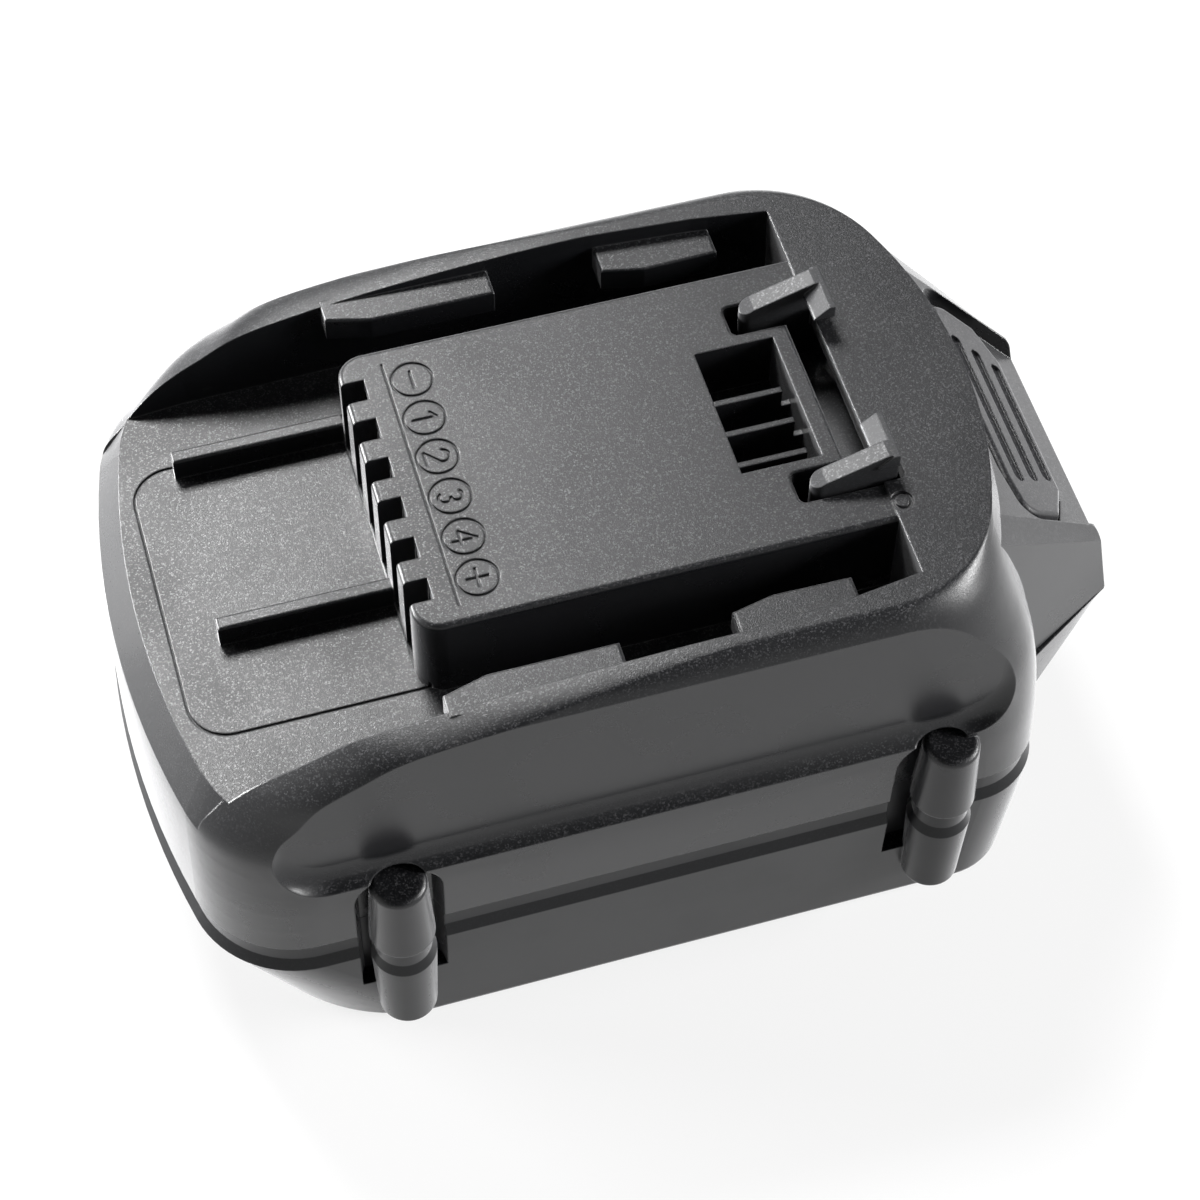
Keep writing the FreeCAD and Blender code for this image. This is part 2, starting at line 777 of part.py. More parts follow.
def pad_line_cut():
    """Fine engraved line round the raised part of the front floor."""
    depth = number("engraving")
    width = 0.3
    level = z_below(number("floor_depth"))
    front = x_ahead(87.8)
    rear = x_ahead(number("block_length") - 4)
    half = 20.6

    def plate(grow):
        slab = block_of((front - grow, -half - grow, level - depth), (rear, half + grow, level + 1))
        corners = [e for e in slab.Edges
                   if abs(e.tangentAt(e.FirstParameter).z) > 0.9 and e.CenterOfMass.x < front + 1]
        return slab.makeFillet(5.0 + grow, corners)
    return plate(width / 2).cut(plate(-width / 2))


def contact_places():
    """Y places of the six contacts, from the far side to the near side."""
    return [(2.5 - i) * number("slot_pitch") for i in range(6)]


def upper_shell_shape():
    """Upper shell: everything above the seam, with the block, channels, deck and button housing."""
    floor = z_below(number("floor_depth"))
    under_floor = number("floor_depth") + number("deck_plate")
    wall = number("wall")
    seam = number("seam_depth")
    deck = number("deck_plate")
    shape = upper_outside()
    for flat in both_sides(side_flat):
        shape = shape.cut(flat)
    shape = shape.fuse(housing_outside())
    shape = shape.cut(front_lip_cut()).cut(channel_cut())
    half = number("block_half_width")
    step = number("block_step")
    shape = shape.fuse(block_shape())
    # hollow inside
    main_room = lofted([plan_outline("seam", wall, seam + 0.5), plan_outline("floor", wall, under_floor)])
    side = number("side_room_y")
    main_room = main_room.common(block_of((x_ahead(110), -side, 0), (x_behind(40), side, 100)))
    block_room = block_of(
        (x_ahead(number("block_length") - 3.0), -half + wall, z_below(under_floor + 0.5)),
        (x_ahead(-2.3), half - wall, z_below(deck + step)),
    )
    rear_room = lofted([plan_outline("floor", 2.4, under_floor + 0.5), plan_outline("deck", 2.4, deck)])
    rear_room = rear_room.common(block_of((x_behind(2.2), -26.5, 0), (x_behind(30), 26.5, 100)))
    for x, y, side in boss_axis_points():
        main_room = main_room.cut(pocket_backing(x, side, 0))
    shape = shape.cut(main_room).cut(block_room).cut(rear_room)
    # well under the window, with three ribs
    well = block_of(
        (x_ahead(number("window_front") + 1.5), -number("window_half") - 1.5, z_below(number("well_depth"))),
        (x_ahead(number("window_rear") - 1.5), number("window_half") + 1.5, z_below(deck)),
    )
    shape = shape.fuse(well)
    shape = shape.cut(block_of(
        (x_ahead(number("window_front")), -number("window_half"), z_below(number("well_depth") - 1.5)),
        (x_ahead(number("window_rear")), number("window_half"), z_below(-2)),
    ))
    for count in range(3):
        y = number("window_rib_y") - count * number("window_rib_pitch")
        rib = number("window_rib") / 2
        for rear, depth in ((number("window_rear") + 1.3, number("window_rib_depth")),
                            (number("window_rear") - 0.5, number("window_rib_depth") + 3.0)):
            shape = shape.fuse(block_of(
                (x_ahead(number("window_front") + 0.5), y - rib, z_below(number("well_depth") - 1.0)),
                (x_ahead(rear), y + rib, z_below(depth)),
            ))
    # latch slots
    slots = []
    for side in (1, -1):
        for front, rear, inner in (
            (number("latch_slot_front"), 0.0, number("latch_slot_in")),
            (1.0, -number("latch_slot_rear"), number("head_out") - 3.3),
        ):
            low_y, high_y = sorted((side * inner, side * number("latch_slot_out")))
            slot = block_of((x_ahead(front), low_y, z_below(7)), (x_ahead(rear), high_y, z_below(-2)))
            uprights = [e for e in slot.Edges if abs(e.tangentAt(e.FirstParameter).z) > 0.9
                        and (e.CenterOfMass.x < x_ahead(5) or e.CenterOfMass.x > x_behind(1))]
            slots.append(slot.makeFillet(0.9, uprights))
    cross_half = number("latch_slot_in") + 0.5
    slots.append(block_of((x_ahead(number("cross_slot")), -cross_half, z_below(7)),
                          (x_ahead(-0.2), cross_half, z_below(-2))))
    for slot in slots:
        shape = shape.cut(slot)
    lips = [e for level in (z_below(0), z_below(step)) for e in level_edges(
        shape, level, lambda c: x_ahead(10.7) < c.x < x_ahead(0.3) and abs(c.y) < 16.0)
        if abs(e.CenterOfMass.y) > 10.2 or e.CenterOfMass.x > x_ahead(5)]
    shape = shape.makeFillet(number("slot_lip"), lips)
    # contact slots through the block's front
    for y in contact_places():
        half_slot = number("slot_width") / 2
        shape = shape.cut(block_of(
            (x_ahead(number("block_length") + 1), y - half_slot, floor + 0.6),
            (x_ahead(number("block_length") - number("slot_length")), y + half_slot, z_below(-2)),
        ))
    # guide rails, guide tabs
    for y in (number("rail_far_y"), number("rail_near_y")):
        rail_front = x_ahead(number("block_length") + number("rail_length"))
        rail_top = floor + number("rail_height")
        rail = block_of((rail_front, y, floor - 0.5),
                        (x_ahead(number("block_length") - 0.5), y + number("rail_width"), rail_top))
        rim = level_edges(rail, rail_top, lambda c: True)
        shape = shape.fuse(rail.makeFillet(number("soft_edge") / 2, rim))
    for side in (1, -1):
        for tab in tabs(side):
            shape = shape.fuse(tab)
    # button window, and the way through the rear wall for the latch's arm
    shape = shape.cut(button_plan(number("button_gap"), 24.6, 2.0))
    arm_half = number("latch_arm_half") + 0.5
    arm_low = number("latch_arm_top") + number("latch_arm") + number("latch_travel") + 0.8
    shape = shape.cut(block_of((x_behind(10), -arm_half, z_below(arm_low)),
                               (x_behind(20), arm_half, z_below(number("latch_arm_top") - 0.6))))
    # the housing is hollow below the button's well
    shape = shape.cut(housing_room(26.6, number("housing_seam") + 0.1))
    # screw bosses in their pockets
    boss_top = number("boss_top")
    for x, y, side in boss_axis_points():
        arch = boss_top + number("boss_pocket_arch")
        shape = shape.cut(boss_pocket(x, y, side, seam + 0.01, arch, True))
        boss = cone_between(x, y, seam, number("boss_radius"), boss_top, number("boss_top_radius"))
        boss = boss.makeFillet(number("boss_round"), level_edges(boss, z_below(boss_top), lambda c: True))
        pilot = Part.makeCylinder(number("screw_hole"), 9.5, Vector(x, y, z_below(seam)))
        shape = shape.fuse(boss).cut(pilot)
    # engraved line, rings and marks on the block
    level = z_below(step)
    depth = number("engraving")
    cuts = [pad_line_cut(), block_of((x_ahead(number("mark_line") + 0.15), -19.0, level - depth),
                                     (x_ahead(number("mark_line") - 0.15), 19.0, level + 1))]
    for mark, y in zip(("minus", "one", "two", "three", "four", "plus"), contact_places()):
        x = x_ahead(number("mark_row"))
        cuts.append(ring_cut(x, y, number("mark_radius"), 0.3, level, depth))
        cuts.extend(mark_strokes(mark, x, y, level))
    cuts.append(ring_cut(x_behind(1.2), -19.1, 1.4, 0.5, z_below(0), depth))
    for cut in cuts:
        shape = shape.cut(cut)
    return shape


def lower_shell_shape():
    """Lower shell: recessed neck under the seam, ledge, drafted walls, base, and the housing's underside."""
    thick = number("lower_wall")
    seam = number("seam_depth")
    base_depth = number("base_depth")
    neck = lofted([plan_outline("neck"), plan_outline("neck", 0.0, seam)])
    flare = lofted([plan_outline("ledge"), plan_outline("neck")])
    bowl = lofted([plan_outline("base"), plan_outline("ledge")])
    rim = [e for e in bowl.Edges if e.BoundBox.ZMax < z_below(base_depth) + 0.01]
    bowl = bowl.makeFillet(1.6, rim)
    shape = neck.fuse(flare).fuse(bowl)
    # underside of the button housing
    top_depth = number("housing_seam") + number("housing_gap")
    rear = number("housing_rear")

    def chin_ring(reach, half, low_depth):
        points = [Vector(x_behind(reach), y, z_below(d)) for y, d in
                  ((half, top_depth), (half - 0.6, low_depth), (-half + 0.6, low_depth), (-half, top_depth))]
        return Part.makePolygon(points + [points[0]])
    chin = lofted([chin_ring(12.0, 31.0, number("chin_depth")), chin_ring(rear, 18.2, top_depth + 1.0)])
    above_seam = upper_outside(-number("shell_gap"))
    chin = chin.cut(above_seam)
    chin = chin.cut(housing_room(top_depth - 0.1, top_depth + 2.0))
    shape = shape.fuse(chin)
    room = lofted([plan_outline("base", thick, base_depth - thick), plan_outline("ledge", thick + 0.5)])
    mouth = lofted([plan_outline("ledge", thick + 0.5), plan_outline("seam", number("wall"), seam - 0.5)])
    room = room.fuse(mouth)
    for x, y, side in boss_axis_points():
        room = room.cut(pocket_backing(x, side, z_below(number("boss_pocket_foot") + thick)))
    shape = shape.cut(room)
    neck_depth = number("neck_depth")
    ledge = number("ledge_depth")
    foot = number("boss_bottom")
    for x, y, side in boss_axis_points():
        shape = shape.cut(boss_pocket(x, y, side, number("boss_pocket_foot"), seam - 1, False))
        boss = cone_between(x, y, neck_depth, number("boss_neck"), seam, number("boss_neck"))
        boss = boss.fuse(cone_between(x, y, ledge, number("boss_radius"), neck_depth, number("boss_neck")))
        lower = cone_between(x, y, foot, number("boss_foot_radius"), ledge, number("boss_radius"))
        lower = lower.makeFillet(number("boss_round"), level_edges(lower, z_below(foot), lambda c: True))
        shape = shape.fuse(boss.fuse(lower))
        shape = shape.cut(Part.makeCylinder(number("screw_hole") + 0.1, 30, Vector(x, y, z_below(foot + 1))))
        sink = number("screw_head") + number("screw_sink")
        shape = shape.cut(Part.makeCylinder(number("screw_head_radius") + 0.2, sink + 1,
                                            Vector(x, y, z_below(foot + 1))))
    return shape


def add_feature(label, shape):
    """A sub-part whose form neither the part bodies nor the plain solids can give."""
    item = doc.addObject("Part::Feature", label)
    item.Shape = shape
    item.Placement = Placement()
    return keep(item, label)


add_feature("upper_shell", upper_shell_shape().removeSplitter())
add_feature("lower_shell", lower_shell_shape().removeSplitter())


# Release latch: the two hooks on their plate, and the button that rides on the plate's arm

def hook_shape(side):
    """One hook: a round-nosed ramp on an upright blade, with a wider head at its rear."""
    inner = number("hook_in")
    width = number("hook_out") - inner
    front = x_ahead(number("hook_front"))
    tip_x = x_ahead(-number("hook_tip_x"))
    rear = x_behind(number("head_rear"))
    low = z_below(number("latch_plate_top") + 0.2)
    toe = z_below(-number("hook_toe"))
    tip = z_below(-number("hook_tip"))
    blade = [(front, low), (front, toe), (front + 1.6, toe + 0.95), (tip_x, tip), (rear, tip), (rear, low)]
    solid = prism([Vector(x, inner, z) for x, z in blade], Vector(0, width, 0))
    nose = [e for e in solid.Edges
            if abs(e.tangentAt(e.FirstParameter).z) > 0.9 and e.CenterOfMass.x < front + 0.1]
    solid = solid.makeFillet(width / 2 - 0.02, nose)
    under = z_below(-number("head_under"))
    head_in = number("head_in")
    lean = [(x_ahead(0.9), under), (x_ahead(0.7), under + 0.35), (x_behind(1.1), tip)]
    head = lean + [(rear, tip), (rear, under)]
    ear = prism([Vector(x, head_in, z) for x, z in head], Vector(0, number("head_out") - head_in, 0))
    solid = solid.fuse(ear)
    return solid if side > 0 else solid.mirror(Vector(0, 0, 0), Vector(0, 1, 0))


def latch_plate_outline():
    """Plan of the latch's plate: two fingers ahead, a cross-bar, and two ears over the springs."""
    half = [
        (x_ahead(3.2), 12.2), (x_ahead(10.2), 12.2), (x_ahead(10.2), 18.6), (x_behind(2.6), 18.6),
        (x_behind(2.6), 23.4), (x_behind(7.8), 23.4), (x_behind(10.8), 18.0),
    ]
    far = [Vector(x, y, 0) for x, y in half]
    near = [Vector(x, -y, 0) for x, y in reversed(half)]
    return far + near


def latch_shape():
    plate_top = number("latch_plate_top")
    plate_low = plate_top + number("latch_plate")
    outline = [Vector(p.x, p.y, z_below(plate_low)) for p in latch_plate_outline()]
    solid = prism(outline, Vector(0, 0, number("latch_plate")))
    for side in (1, -1):
        solid = solid.fuse(hook_shape(side))
        low_y, high_y = sorted((side * 16.3, side * 18.4))
        solid = solid.fuse(block_of((x_ahead(6.5), low_y, z_below(plate_top + 0.5)),
                                    (x_ahead(1.5), high_y, z_below(number("deck_plate") + 0.5))))
    arm_half = number("latch_arm_half")
    arm_top = number("latch_arm_top")
    arm_low = arm_top + number("latch_arm")
    web = block_of((x_behind(8.4), -arm_half, z_below(arm_low)),
                   (x_behind(10.8), arm_half, z_below(plate_low - 0.5)))
    arm = block_of((x_behind(10.3), -arm_half, z_below(arm_low)),
                   (x_behind(number("latch_arm_rear")), arm_half, z_below(arm_top)))
    return solid.fuse(web).fuse(arm)


def button_shape():
    """Release button: a sloping thumb pad with three grooves and round ends, over a pocket for the arm."""
    front = number("button_front")
    rear = number("button_rear")
    rise = number("button_rise")
    bottom = number("button_bottom")
    side = [(front - 1, slope_depth_at(front - 1) - rise), (rear + 1, slope_depth_at(rear + 1) - rise),
            (rear + 1, bottom), (front - 1, bottom)]
    half = number("button_half") + 1.0
    slab = prism([Vector(x_behind(x), -half, z_below(d)) for x, d in side], Vector(0, 2 * half, 0))
    solid = slab.common(button_plan(0.0, bottom, 2.0))
    face = Vector(number("slope_fall"), 0, number("slope_run")).normalize()

    def on_face(point):
        level = z_below(slope_depth_at(point.x - number("stop_x")) - rise)
        return abs(point.z - level) < 0.05
    brow = [e for e in solid.Edges
            if on_face(e.valueAt(e.FirstParameter)) and on_face(e.valueAt(e.LastParameter))]
    solid = solid.makeFillet(number("soft_edge"), brow)
    along = Vector(number("slope_run"), 0, -number("slope_fall")).normalize()
    wide = number("groove")
    deep = number("groove_depth")
    for reach, length in ((20.8, 12.4), (23.45, 11.2), (26.1, 10.0)):
        level = z_below(slope_depth_at(reach) - rise)
        start = Vector(x_behind(reach), -length, level) - along * (wide / 2)
        whole = Vector(0, 2 * length, 0)
        low = start - face * deep
        column = prism([low, low + along * wide, low + along * wide + whole, low + whole], face * 4.0)
        rounds = [e for e in column.Edges if abs(e.tangentAt(e.FirstParameter).dot(face)) > 0.99]
        column = column.makeFillet(wide / 2 - 0.02, rounds)
        rear_low = start + along * wide - face * number("groove_rear_depth")
        wedge = prism([low, rear_low, start + along * wide + face * 2.0, start + face * 2.0], whole)
        solid = solid.cut(column.common(wedge))
    arm_half = number("latch_arm_half")
    arm_top = number("latch_arm_top")
    pocket = block_of((x_behind(front - 1), -arm_half, z_below(arm_top + number("latch_arm"))),
                      (x_behind(number("latch_arm_rear")), arm_half, z_below(arm_top)))
    return solid.cut(pocket)


add_feature("latch_hooks", latch_shape().removeSplitter())
add_feature("release_button", button_shape())


# Coil springs under the latch's ears

def coil_shape(x, y, low, high):
    """One unbroken round wire, wound up an axis, in quarter turns of two joined arcs each."""
    radius = number("spring_radius")
    wire_radius = number("spring_wire") / 2
    turns = number("spring_turns")
    rise = (high - low - 2 * wire_radius) / turns

    def at(turn):
        angle = 2 * math.pi * turn
        height = low + wire_radius + rise * turn
        return Vector(x + radius * math.cos(angle), y + radius * math.sin(angle), height)
    count = int(turns * 4)
    edges = [Part.Arc(at(i / 4), at((i + 0.5) / 4), at((i + 1) / 4)).toShape() for i in range(count)]
    path = Part.Wire(edges)
    start = at(0)
    direction = edges[0].tangentAt(edges[0].FirstParameter)
    circle = Part.Wire([Part.makeCircle(wire_radius, start, direction)])
    shell = Part.BRepOffsetAPI.MakePipeShell(path)
    shell.add(circle)
    shell.build()
    shell.makeSolid()
    return shell.shape(), rise - 2 * wire_radius


spring_low = z_below(number("frame_top"))
spring_high = z_below(number("latch_plate_top") + number("latch_plate"))
spring_x = x_behind(number("spring_x"))
for name, side in (("far", 1), ("near", -1)):
    coil, coil_gap = coil_shape(spring_x, side * number("spring_y"), spring_low, spring_high)
    add_feature(f"latch_spring_{name}", coil)
print("gap between spring turns", round(coil_gap, 2))


# Ten cells, lying across the pack

def cell_places():
    places = []
    for column in range(5):
        for depth in (size["cell_high"], size["cell_low"]):
            x = ahead(size["cell_middle"]) + (column - 2) * size["cell_pitch"]
            places.append((x, below(depth), 1 if column % 2 == 0 else -1))
    return places


for index, (x, z, way) in enumerate(cell_places(), start=1):
    r = size["cell_radius"]
    half = size["cell_length"] / 2
    can = [(0, -half), (r - 0.6, -half), (r, -half + 0.6), (r, half - 3.2)]
    crimp = [(r - 0.5, half - 2.6), (r, half - 2.0), (r, half - 1.2), (r - 0.9, half - 0.7)]
    button = [(3.1, half - 0.7), (3.1, half), (0, half)]
    section = can + crimp + button
    cell = turned(f"cell_{index}", section, (x, 0, z), Rotation(Vector(1, 0, 0), -90 * way))
    keep(cell, f"cell_{index}")

# Two frames that hold the cells' ends, with posts for the board's screws

def post_places():
    return [(ahead(66.0), size["post_y"]), (ahead(8.0), size["post_y"])]


for name, side in (("far", 1), ("near", -1)):
    front = ahead(size["frame_front"])
    rear = behind(size["frame_rear"])
    frame_low = below(size["frame_bottom"])
    frame_high = below(size["frame_top"])
    corners = [(front, frame_high), (front, frame_low + 12), (front + 8, frame_low), (rear - 3, frame_low),
               (rear, frame_low + 3), (rear, frame_high)]
    bores = [(x, z, size["cell_bore"]) for x, z, way in cell_places()]
    depth = size["frame_out"] - size["frame_in"]
    start = size["frame_in"] if side < 0 else -size["frame_out"]
    body = padded(f"cell_frame_{name}", "XZ_Plane", start, corners, depth)
    solid_volume = body.Shape.Volume
    bore_sketch = outline_sketch(body, f"bores_{name}", "XZ_Plane", start, [], bores)
    pocket = body.newObject("PartDesign::Pocket", f"bores_{name}_pocket")
    pocket.Profile = bore_sketch
    pocket.Reversed = True
    bind(pocket, "Length", depth)
    doc.recompute()
    if body.Shape.Volume > 0.7 * solid_volume:
        raise RuntimeError("the cell frame's bores cut nothing")
    bevel = [(rear + 1, side * Size(17)), (rear - 6, side * Size(33)), (rear + 1, side * Size(33))]
    bevel_sketch = outline_sketch(body, f"bevel_{name}", "XY_Plane", frame_high, bevel)
    pocket = body.newObject("PartDesign::Pocket", f"bevel_{name}_pocket")
    pocket.Profile = bevel_sketch
    bind(pocket, "Length", size["frame_bottom"] - size["frame_top"])
    bored_volume = body.Shape.Volume
    doc.recompute()
    if body.Shape.Volume > bored_volume - 50:
        raise RuntimeError("the cell frame's bevel cuts nothing")
    for count, (x, y) in enumerate(post_places()):
        around = [(x + dx * size["post_radius"], side * y + dy * size["post_radius"])
                  for dx, dy in ((1, -0.414), (1, 0.414), (0.414, 1), (-0.414, 1),
                                 (-1, 0.414), (-1, -0.414), (-0.414, -1), (0.414, -1))]
        pilot = [(x, side * y, 1.0)]
        post = outline_sketch(body, f"post_{name}_{count}", "XY_Plane", frame_high, around, pilot)
        pad = body.newObject("PartDesign::Pad", f"post_{name}_{count}_pad")
        pad.Profile = post
        bind(pad, "Length", size["board_top"] * -1 - size["board"] + size["frame_top"])
    doc.recompute()
    keep(body, f"cell_frame_{name}")

# Nickel strips over the cell ends, each with a tab that bends in over the board

strip_plan = [
    (1, 0, 0, False), (1, 1, 2, False), (1, 3, 4, True),
    (-1, 0, 1, False), (-1, 2, 3, False), (-1, 4, 4, True),
]
for index, (side, first, last, linked) in enumerate(strip_plan, start=1):
    middle = ahead(size["cell_middle"])
    left = middle + (first - 2) * size["cell_pitch"] - 4.0
    right = middle + (last - 2) * size["cell_pitch"] + 4.0
    outer = size["cell_length"] / 2
    inner_y, outer_y = (outer, outer + size["strip"]) if side > 0 else (-outer - size["strip"], -outer)
    plate = box(f"strip_{index}_plate", (left, inner_y, below(size["cell_low"]) - 5.0),
                (right, outer_y, below(size["cell_high"]) + 5.0))
    tab_left = left
    pieces = [plate]
    if linked:
        tab_left = left + 3.0 if first != last else left - 5.2
        link = box(f"strip_{index}_link", (tab_left, inner_y, below(size["cell_high"]) + 1.0),
                   (left + 1.0 if first == last else tab_left + 4.0, outer_y, below(size["cell_high"]) + 5.0))
        pieces.append(link)
    tab = box(f"strip_{index}_tab", (tab_left, inner_y, below(size["cell_high"]) + 1.0),
              (tab_left + 4.0, outer_y, below(size["board_top"]) + size["strip"]))
    fold_low, fold_high = (22.4, outer_y) if side > 0 else (inner_y, -22.4)
    fold = box(f"strip_{index}_fold", (tab_left, fold_low, below(size["board_top"])),
               (tab_left + 4.0, fold_high, below(size["board_top"]) + size["strip"]))
    keep(fused(f"nickel_strip_{index}", pieces + [tab, fold]), f"nickel_strip_{index}")

# Insulation and foam

for name, side in (("far", 1), ("near", -1)):
    inner = size["cell_length"] / 2 + size["strip"]
    low_y, high_y = (inner, inner + size["side_sheet"]) if side > 0 else (-inner - size["side_sheet"], -inner)
    corners = [(ahead(78.0), below(26.0)), (ahead(78.0), below(52.0)), (ahead(73.0), below(60.0)),
               (behind(11.0), below(60.0)), (behind(11.0), below(40.0)), (behind(8.5), below(26.0))]
    sheet_body = padded(f"side_insulator_{name}", "XZ_Plane", -1 * high_y, corners, size["side_sheet"])
    keep(sheet_body, f"side_insulator_{name}")

cover_corners = [(ahead(77.0), -31.5), (ahead(0.8), -31.5), (ahead(0.8), 31.5), (ahead(77.0), 31.5)]
cover_holes = [(x, side * y, size["post_radius"] + 0.5) for x, y in post_places() for side in (1, -1)]
cover = padded("insulating_sheet", "XY_Plane", below(size["frame_top"]), cover_corners, size["top_sheet"],
               cover_holes)
keep(cover, "insulating_sheet")
keep(box("foam_pad", (ahead(73.0), -28.0, below(size["frame_bottom"] + size["foam"])),
         (behind(11.0), 28.0, below(size["frame_bottom"]))), "foam_pad")

# Circuit board with its parts

board_low = below(size["board_top"] + size["board"])
board_top = below(size["board_top"])
half_board = size["board_half"]
board_corners = [(ahead(size["board_front"]), -half_board), (ahead(size["board_rear"]), -half_board),
                 (ahead(size["board_rear"]), half_board), (ahead(size["board_front"]), half_board)]
board_holes = [(x, side * y, 1.3) for x, y in post_places() for side in (1, -1)]
laminate = padded("circuit_board", "XY_Plane", board_low, board_corners, size["board"], board_holes)
keep(laminate, "circuit_board")

transistors = []
for count, x in enumerate((34.0, 26.0, 18.0)):
    transistors.append(box(f"transistor_{count}", (ahead(x + 3.2), 4.0, board_top),
                           (ahead(x - 3.2), 10.2, board_top + 1.6)))
keep(fused("power_transistors", transistors), "power_transistors")
keep(box("controller_chip", (ahead(33.0), -9.0, board_top), (ahead(27.0), -3.0, board_top + 1.2)),
     "controller_chip")
keep(box("fuse", (ahead(41.0), 12.0, board_top), (ahead(37.0), 18.0, board_top + 1.8)), "fuse")
keep(box("thermistor", (ahead(24.5), -3.0, below(size["frame_top"]) + size["top_sheet"]),
         (ahead(21.5), 0.0, board_low)), "thermistor")

# Contact carrier behind the slots, and the six contacts

carrier_half = size["carrier_half"]
carrier = box("carrier_block", (ahead(size["carrier_front"]), -carrier_half, board_top),
              (ahead(size["carrier_rear"]), carrier_half, below(size["carrier_top"])))
cells_cut = []
for count, y in enumerate(contact_places()):
    low = (ahead(size["carrier_front"]) - 1.0, y - 1.7, board_top + 2.0)
    high = (ahead(size["carrier_rear"]) - 2.0, y + 1.7, below(size["carrier_top"]) - 1.0)
    cells_cut.append(box(f"carrier_cell_{count}", low, high))
keep(without("contact_carrier", carrier, fused("carrier_cells", cells_cut)), "contact_carrier")

for count, y in enumerate(contact_places(), start=1):
    leaf = size["contact_leaf"]
    gap = size["contact_gap"] / 2
    front_x = ahead(size["carrier_front"]) + 0.6
    rear_x = ahead(size["carrier_rear"]) - 2.3
    low_z = board_top + 2.0
    leaves = [
        box(f"contact_{count}_far", (front_x, gap + y, low_z), (rear_x, gap + leaf + y, low_z + 10.0)),
        box(f"contact_{count}_near", (front_x, y - gap - leaf, low_z), (rear_x, y - gap, low_z + 10.0)),
        box(f"contact_{count}_web", (rear_x - 3.0, y - gap - leaf, low_z),
            (rear_x, y + gap + leaf, low_z + 1.0)),
    ]
    keep(fused(f"contact_{count}", leaves), f"contact_{count}")

# Screws

def screw_section(head_radius, head, shank_radius, length):
    socket = head_radius * 0.45
    return [(0, 1.0), (socket, 1.0), (socket, 0), (head_radius, 0), (head_radius, head), (shank_radius, head),
            (shank_radius, length - 1.0), (0, length)]


case_screws = []
for count, (x, y, side) in enumerate(boss_axis_points()):
    section = screw_section(size["screw_head_radius"], size["screw_head"], size["screw_radius"],
                            size["screw_length"])
    start = below(size["boss_bottom"]) + size["screw_sink"]
    case_screws.append(turned(f"case_screw_{count}", section, (Size(x), Size(y), start)))
keep(fused("case_screws", case_screws), "case_screws")

board_screws = []
for count, (x, y) in enumerate(post_places()):
    for side in (1, -1):
        section = screw_section(Size(2.2), Size(1.5), Size(0.95), Size(6.5))
        board_screws.append(turned(f"board_screw_{count}_{side + 1}", section, (x, side * y, board_top + 1.5),
                                   Rotation(Vector(1, 0, 0), 180)))
keep(fused("board_screws", board_screws), "board_screws")

doc.recompute()
for item in doc.Objects:
    if "Invalid" in item.State or "Error" in item.State:
        raise RuntimeError(f"{item.Label} is {item.State}")
os.makedirs("parts", exist_ok=True)
for item in subparts:
    shape = item.Shape
    if shape.isNull() or not shape.isValid():
        raise RuntimeError(f"{item.Label} has no valid shape")
    print(item.Label, "solids", len(shape.Solids), "volume", round(shape.Volume, 1))
    shape.exportStep(os.path.join("parts", f"{item.Label}.step"))
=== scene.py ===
# %% [markdown]
# A slide-on battery pack for a cordless tool, in charcoal moulded plastic. The construction comes in as a
# fixed frame: two shells, a latch with two hooks and a sloping button, and everything inside. This script
# gives each piece its finish, adds what is too fine for the construction, and lights the whole in a pale
# studio. All lengths are in metres.

# %% Load the frame
import math
import bpy
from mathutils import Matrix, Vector

MM = 0.001
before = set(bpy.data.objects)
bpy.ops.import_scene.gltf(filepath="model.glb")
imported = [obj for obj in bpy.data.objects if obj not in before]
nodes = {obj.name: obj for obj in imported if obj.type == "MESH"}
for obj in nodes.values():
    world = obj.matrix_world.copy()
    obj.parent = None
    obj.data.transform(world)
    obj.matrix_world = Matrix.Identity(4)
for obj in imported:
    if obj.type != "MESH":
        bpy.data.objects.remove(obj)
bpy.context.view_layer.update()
print("pieces in the frame:", len(nodes))

# %% [markdown]
# The camera comes first, so that every later step can be judged from the right place. The pack is seen from
# above its near side, with a long lens from less than half a metre. A camera could be set by eye, but then no
# edge would lie quite where it should, so its place and turn were solved from the pack's own edges and are
# plain numbers here.

# %% Camera
SENSOR_MM = 36.0
CAMERA_PLACE = Vector((-67.06, -217.11, 363.28)) * MM
CAMERA_TURN = [math.radians(angle) for angle in (34.348, -0.529, -16.429)]
LENS_MM = 91.2
VIEW_DEPTH = (0.01, 20.0)


def make_camera():
    """Camera at the solved place."""
    data = bpy.data.cameras.new("camera")
    data.sensor_width = SENSOR_MM
    data.lens = LENS_MM
    data.clip_start, data.clip_end = VIEW_DEPTH
    camera = bpy.data.objects.new("camera", data)
    camera.location = CAMERA_PLACE
    camera.rotation_euler = CAMERA_TURN
    bpy.context.scene.collection.objects.link(camera)
    bpy.context.scene.camera = camera
    return camera


camera = make_camera()
print("camera", LENS_MM, "mm at", [round(c, 3) for c in camera.location])

# %% [markdown]
# Every material below is a small tree of nodes. Such a tree could be built by hand in the shader editor, but
# written down it can be read and changed in one place. One helper adds a node, sets its options and fills or
# links its inputs, so that a material reads as a list of what it is made of.

# %% Helpers for nodes
NODE_STEP = 180
NODE_ROWS = 5


